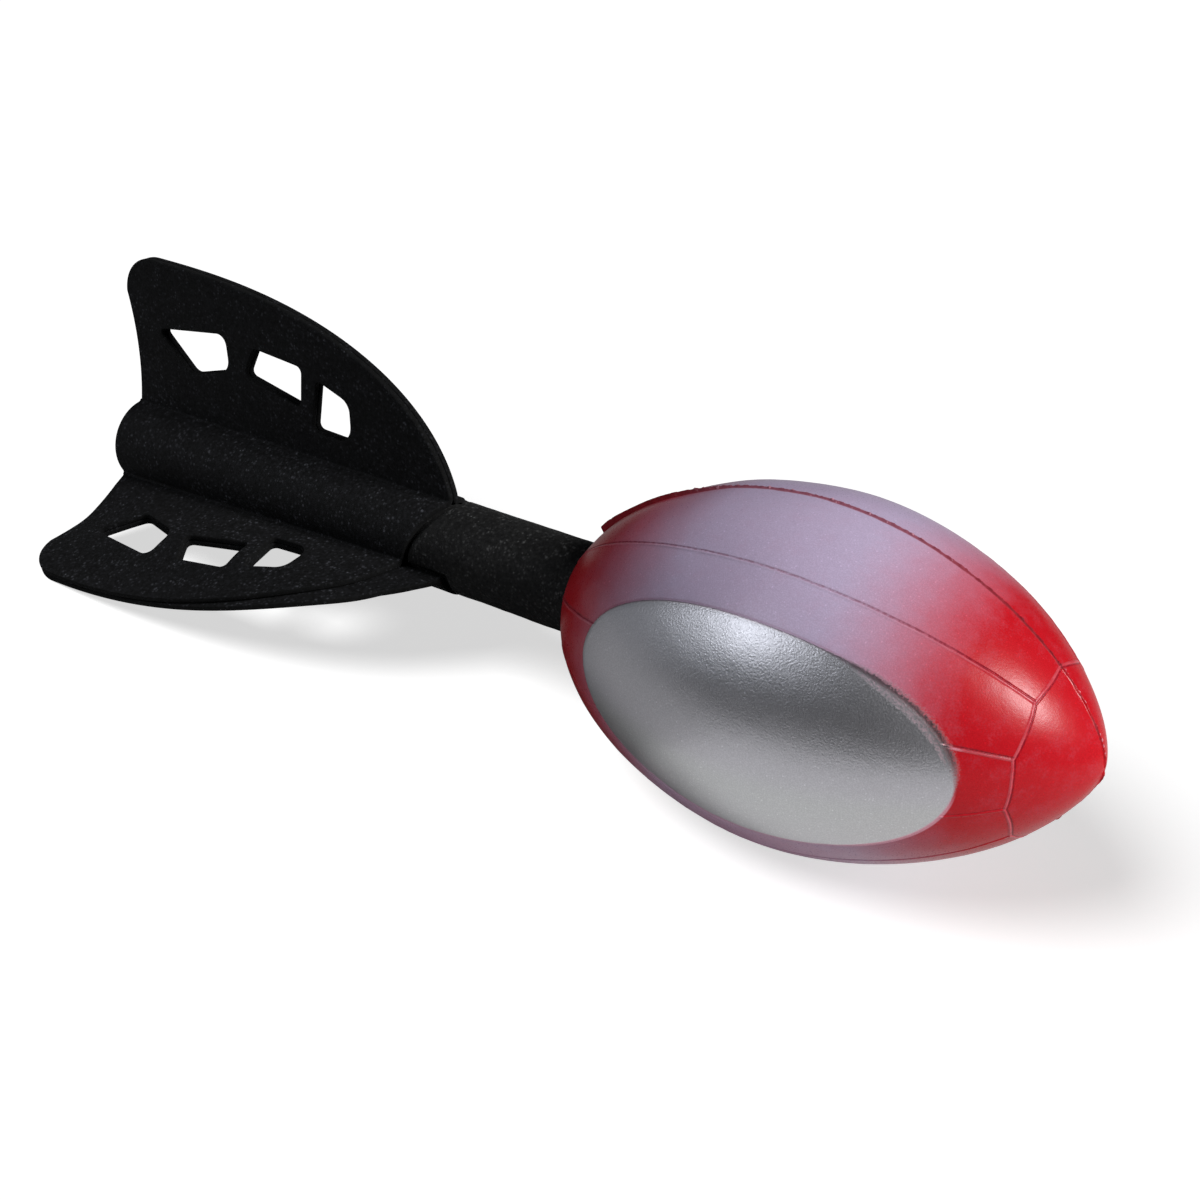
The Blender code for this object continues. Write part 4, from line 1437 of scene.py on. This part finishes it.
# Painted highlight rims are above 0 and the painted shade line is below it: a tone, a middle and a half
# width
RIM_HIGHLIGHT_AND_SHADE = ((1.0, -35, 26), (0.4, -95, 35), (-1.0, 105, 60))


def smooth(value, low, high):
    """Runs smoothly from 0 to 1 as a value goes from low to high."""
    share = np.clip((value - low) / (high - low), 0, 1)
    return share * share * (3 - 2 * share)


def bump(distance, half_width):
    """A smooth rise of height 1: exp of minus the square of the distance."""
    return np.exp(-((distance / half_width) ** 2))


def spray(station, angle, flash, oval):
    """Where the lilac leaves the red bare, and how the edge of the oval looks all round, with its
    painted highlight and shade.
    """
    height = np.degrees(np.arcsin(np.sin(angle)))
    lower = smooth(-height, *LOWER_PART)
    rear = LILAC_REAR + LOWER_SHIFT[0] * lower
    front = LILAC_FRONT + LOWER_SHIFT[1] * lower
    red = np.maximum(1 - smooth(station, rear - LILAC_FADE, rear + LILAC_FADE),
                     smooth(station, front - LILAC_FADE, front + LILAC_FADE))
    red = np.maximum(red, bump(flash, FLASH_RED_WIDTH) * (1 - smooth(station, *FLASH_RED_END)))
    red = np.maximum(red, BELLY_RED * smooth(-height, *BELLY_PART))
    x, z, _ = in_oval(station, angle)
    around = np.degrees(np.arctan2(z, x))
    top, fade = STREAK_SHIFT_FADE
    streak = np.abs(oval + STREAK_SHIFT * smooth(top - around, 0, fade))
    middle, reach = STREAK_PART
    streak += STREAK_FADE * ((around - middle) / reach) ** 4
    edge = sum(tone * plateau(around, *where) for tone, *where in RIM_HIGHLIGHT_AND_SHADE)
    return {"red": red, "soft": plateau(around, *SOFT_EDGE), "streak": streak, "edge": edge}


print("full red behind", round(LILAC_REAR - LILAC_FADE, 3), "m and in front of",
      round(LILAC_FRONT + LILAC_FADE, 3), "m")

# %% [markdown]
# ## The welts' relief
#
# A seam stands a tenth of a millimetre proud and its furrow is as deep. That is enough to catch
# a line of light, and it is real relief in the mesh, so that it also holds up close to.

# %% Shape the welts
SEAM_CREST = 0.00011
SEAM_HALF_WIDTH = 0.00030
FURROW_DEPTH = 0.00012
FURROW_HALF_WIDTH = 0.00018
OVAL_GROOVE = (0.00030, 0.00012)


def welt(distance, rough):
    """A crest at distance 0 and a furrow beside it."""
    crest = bump(distance, SEAM_HALF_WIDTH) * SEAM_CREST * rough
    return crest - bump(distance - FURROW_SHIFT, FURROW_HALF_WIDTH) * FURROW_DEPTH


print("a crest stands", round(SEAM_CREST * TO_MILLIMETRES, 2), "mm high")

# %% [markdown]
# ## The parting line's flash
#
# Along the parting line a thin fin of foam is left, half a millimetre high and torn unevenly. It
# is tallest at its upper rear end, where it begins all at once, and the foam beside it is sunk
# a little. Below the nose it has two nibs. A strip of its own could be laid along the head, but
# it would show a join, so a few columns of the head's own mesh are pushed out instead.

# %% Shape the flash
FLASH_HEIGHT = 0.00048
FLASH_HALF_WIDTH = 0.00030
FLASH_START = 0.1663
FLASH_BEGIN = (0.0001, 0.0003)
SUNK_DEPTH = 0.0007
SUNK_END = (0.186, 0.206)
SUNK_WIDTH = 0.55
# Middle, swing, least and most of its uneven height, as shares
FLASH_TEAR = (0.75, 0.8, 0.15, 2.0)
# Extra height and half length of the tall end, and station and height of each nib
REAR_FLASH = (0.0013, 0.0050)
NIBS = ((0.2997, 0.0004), (0.2918, 0.0004))
NIB_HALF_LENGTH = 0.0008
# A share first, then the stations between which it comes in or goes out
EVEN_FLASH = (0.8, 0.180, 0.200)
LOW_FLASH = (0.75, 0.284, 0.290)
FINER = ((0.5, 0.240, 0.275), (1.8, RING_STATION, RING_STATION + 0.001), (-1.0, 0.294, 0.296))
BROADER = (0.35, 0.200, 0.240)
BROAD_REAR = (0.9, 0.020)


def foam_sink(station, angle):
    """How deep the foam is sunk beside the rear of the upper parting line."""
    depth = SUNK_DEPTH * (1 - smooth(station, *SUNK_END))
    return depth * bump(np.cos(angle), SUNK_WIDTH) * (np.sin(angle) > 0)


def flash_height(station, angle, torn):
    """How proud the flash stands, and its share of the tall rear end."""
    above = np.sin(angle) > 0
    middle, swing, least, most = FLASH_TEAR
    jagged = np.clip(middle + swing * torn, least, most)
    even, *where = EVEN_FLASH
    jagged += (even - jagged) * (1 - smooth(station, *where)) * above
    less, *where = LOW_FLASH
    jagged *= 1 - less * smooth(station, *where) * ~above
    rise, length = REAR_FLASH
    rear_share = bump(station - FLASH_START, length) * above
    begun = smooth(station, FLASH_START - FLASH_BEGIN[0], FLASH_START + FLASH_BEGIN[1])
    proud = FLASH_HEIGHT * jagged + rise * rear_share + foam_sink(station, angle) * begun
    for place, height in NIBS:
        proud += height * bump(station - place, NIB_HALF_LENGTH) * ~above
    return proud * begun, rear_share


def flash_fineness(station, angle):
    """How many times finer the painted line is: finer towards the nose, broader at the rear."""
    fine = 1 + sum(gain * smooth(station, *where) for gain, *where in FINER)
    gain, *where = BROADER
    rear_gain, length = BROAD_REAR
    rear = bump(station - FLASH_START, length) * (np.sin(angle) > 0)
    return fine / (1 + gain * (1 - smooth(station, *where)) + rear_gain * rear)


rear_height = FLASH_HEIGHT + REAR_FLASH[0]
print("the flash stands", round(rear_height * TO_MILLIMETRES, 1), "mm high at its rear end")

# %% [markdown]
# ## All of the head's relief
#
# The welts, the flash, the groove round the oval and some low waves are added up, and the same
# distances are kept as marks for the paint. The seams waver a little, as they do on the toy.
# The mark "shine" says how light their crests are: a painted highlight above, where the light
# falls, and none on the underside. It also gives the silver above its painted reflection tint.

# %% Add up the relief and the marks
# Size, seed and height of waves
WOBBLE = (0.009, 3, 0.00010)
WELT_ROUGHNESS = (0.0022, 4, 0.35)
FLASH_SHIFT = (0.005, 6, 0.00016)
SKIN_WAVE = (0.004, 9, 0.000015)
# Size, seed and number of octaves
TEAR = (0.0011, 5, 4)
BODY_WAVE = (0.030, 8, 2)
TEAR_SHIFT = 0.00006
BODY_WAVE_HEIGHT = 0.00012
SEAM_END_AT_RING = 0.0004
SEAM_END_AT_OVAL = 0.0006
REAR_BLEND = 0.003
NOSE_BLEND = 0.0012
SHINE_FROM = -0.35
# A bright scratch: its share, its distance from the oval, its half width, its height and spread
SCRATCH = (2.5, 0.0013, 0.0010, 0.31, 0.05)


def shine_of(station, angle, oval):
    """How strongly the seams' crests get a painted highlight, above where the light falls, with a
    bright scratch where one meets the oval's front.
    """
    share, beside, width, height, spread = SCRATCH
    scratch = share * bump(oval - beside, width) * bump(np.sin(angle) - height, spread)
    return smooth(np.sin(angle), SHINE_FROM, 0.0) + scratch * (station > OVAL_STATION)


def head_relief(station, angle):
    """How far the surface stands out from the turned form, and the marks that paint it."""
    spot = ring_points(station, head_radius(station), angle)
    seam, parting = seam_distance(station, angle)
    size, seed, height = WOBBLE
    wobble = waves(spot, size, seed) * height
    ring = ring_distance(station, angle)
    oval = oval_distance(station, angle)
    size, seed, height = WELT_ROUGHNESS
    rough = 1 + height * waves(spot, size, seed)
    torn = waves(spot, *TEAR)
    size, seed, height = FLASH_SHIFT
    shift = waves(spot, size, seed) * height + torn * TEAR_SHIFT
    before_ring = np.clip(0.5 - ring / SEAM_END_AT_RING, 0, 1)
    outside = np.clip(oval / SEAM_END_AT_OVAL + 0.5, 0, 1)
    proud, rear_share = flash_height(station, angle, torn)
    blade = bump(seam - shift, FLASH_HALF_WIDTH * (1 + rear_share)) * proud
    lift = np.where(parting, blade, welt(seam - wobble, rough) * before_ring * outside)
    lift -= foam_sink(station, angle) * smooth(station, HEAD_REAR, HEAD_REAR + REAR_BLEND)
    lift += welt(ring + wobble, rough)
    width, depth = OVAL_GROOVE
    lift -= bump(oval, width) * depth
    lift += waves(spot, *BODY_WAVE) * BODY_WAVE_HEIGHT
    size, seed, height = SKIN_WAVE
    lift += waves(spot, size, seed) * height
    marks = {"seam": np.where(parting, NO_LINE, np.abs(seam - wobble)),
             "furrow": np.where(parting, NO_LINE, np.abs(seam - wobble - FURROW_SHIFT)),
             "flash": np.where(parting, np.abs(seam - shift) * flash_fineness(station, angle), NO_LINE),
             "ring": ring + wobble, "oval": oval, "torn": torn,
             "shine": shine_of(station, angle, oval)}
    marks.update(spray(station, angle, marks["flash"], oval))
    return lift * np.minimum(1, head_radius(station) / NOSE_BLEND), marks


print("the seams waver by", WOBBLE[2] * TO_MILLIMETRES, "mm")

# %% [markdown]
# ## The head
#
# The rows of the outside run from the lip at the rear to the nose. Inside the lip, a blind
# socket takes the boom, and its rings come before the outside's in the numbering, so one grid
# of quads covers both. A fan of triangles closes the socket's end and another closes the nose.

# %% Make the head
SOCKET_RADIUS = 0.0124
SOCKET_DEPTH = 0.030
SOCKET_RINGS = (0.0, 0.0004, 0.004, 0.012, 0.022, SOCKET_DEPTH - 0.0004, SOCKET_DEPTH)


def make_head(material):
    """The painted head, with the lip and the blind socket that take the boom."""
    columns = len(head_columns)
    station = np.repeat(head_rows, columns)
    angle = np.tile(head_columns, len(head_rows))
    lift, fields = head_relief(station, angle)
    slope = outline_slope(station)
    lift = lift / np.hypot(1, slope)
    outside = ring_points(station - slope * lift, head_radius(station) + lift, on_head(angle))
    socket = [ring_points(HEAD_REAR + depth, SOCKET_RADIUS, head_columns) for depth in SOCKET_RINGS]
    ends = [[HEAD_REAR + SOCKET_DEPTH, 0, 0], [NOSE_STATION, 0, 0]]
    points = np.concatenate(socket[::-1] + [outside, ends])
    count = len(head_rows) + len(socket)
    ring = np.arange(columns)
    nose = ring + (count - 1) * columns
    bottom_fan = np.stack([np.roll(ring, -1), ring, np.full(columns, count * columns)], 1)
    nose_fan = np.stack([nose, np.roll(nose, -1), np.full(columns, count * columns + 1)], 1)
    faces = [ring_quads(count, columns), bottom_fan, nose_fan]
    marks = {}
    for name, values in fields.items():
        lip = values[:columns]
        marks[name] = np.concatenate([np.tile(lip, len(socket)), values, [NO_LINE, values[-1]]])
    return make_piece("painted_head", points, faces, material, "head", marks)


make_head(head_paint)

# %% [markdown]
# ## The boom
#
# The boom is a foam tube with a bore. The sheets squeeze it where they are glued on, and its
# body comes out to full size just in front of their slanted edges. It is one profile carried
# round the axis: out along the outside, into the bore at the front, back through it and out to
# the tail's rim, where the first ring and the last one are joined.

# %% Make the boom
BOOM_RADIUS = 0.0121
BOOM_BORE = 0.0040
SEAT_RADIUS = 0.0106
SEAT_RUNOUT = 0.0020
SEAT_END = 0.1186
SEAT_END_BELOW = 0.1236
BOTTOM_SHARE = 0.95
BOOM_FRONT = HEAD_REAR + SOCKET_DEPTH - 0.0003
BOOM_ROUNDING = 0.0005
BOOM_COLUMNS = 144
# Start, end and number of rings of each stretch of the outside
BOOM_ROWS = ((0.0, 0.104, 90), (0.1045, 0.128, 80), (0.1285, BOOM_FRONT - BOOM_ROUNDING, 90))
BOOM_SKIN = 0.00006
BOOM_WAVES = ((0.02, 11, 0.00009), (0.004, 12, 0.00003))
INSIDE_RINGS = ((BOOM_FRONT, BOOM_RADIUS - BOOM_ROUNDING), (BOOM_FRONT, BOOM_BORE), (0.06, BOOM_BORE),
                (0.0008, BOOM_BORE), (0.0, BOOM_BORE + BOOM_ROUNDING), (0.0, 0.0075))


def seat_end(angle):
    """Where the squeezed seat ends: just past the sheets' fronts, which slant at the sides."""
    from_top = np.abs((angle - np.pi / 2 + np.pi) % (2 * np.pi) - np.pi)
    share = from_top / math.radians(90.0 - LOWER_ROOT[1])
    ease = share * share * (3 - 2 * share)
    return np.where(share > BOTTOM_SHARE, SEAT_END_BELOW, SEAT_END - SIDE_SHEET_SETBACK * ease)


def boom_radius(station, angle):
    """Radius of the outside: the seat, a cosine run-out to full size, and a rounded tail edge."""
    share = np.clip((station - seat_end(angle)) / SEAT_RUNOUT, 0, 1)
    radius = SEAT_RADIUS + (BOOM_RADIUS - SEAT_RADIUS) * (1 - np.cos(np.pi * share)) / 2
    round_off = BOOM_ROUNDING - np.minimum(station, BOOM_ROUNDING)
    radius -= BOOM_ROUNDING - np.sqrt(BOOM_ROUNDING ** 2 - round_off ** 2)
    spot = ring_points(station, radius, angle)
    swell = sum(waves(spot, size, seed) * height for size, seed, height in BOOM_WAVES)
    return radius - BOOM_SKIN + swell * share


def make_boom(material):
    """The tube, its rows numbered along the outside from the tail, and back through the bore."""
    angles = 2 * np.pi * np.arange(BOOM_COLUMNS) / BOOM_COLUMNS
    out = np.concatenate([np.linspace(*stretch) for stretch in BOOM_ROWS])
    station = np.repeat(out, BOOM_COLUMNS)
    angle = np.tile(angles, len(out))
    rings = [ring_points(station, boom_radius(station, angle), angle)]
    rings += [ring_points(place, radius, angles) for place, radius in INSIDE_RINGS]
    points = np.concatenate(rings)
    count = len(points) // BOOM_COLUMNS
    ring = np.arange(BOOM_COLUMNS)
    last = ring + (count - 1) * BOOM_COLUMNS
    closing = np.stack([last, np.roll(last, -1), np.roll(ring, -1), ring], 1)
    return make_piece("foam_boom", points, [ring_quads(count, BOOM_COLUMNS), closing], material,
                      "boom")


make_boom(tube_foam)

# %% [markdown]
# ## The last step
#
# The size of the dressed model is printed.

# %% Print the dressed size
visual_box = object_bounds()
dressed_size = np.subtract(visual_box[1], visual_box[0])
print("the dressed model measures", np.round(dressed_size * TO_MILLIMETRES, 1), "mm")
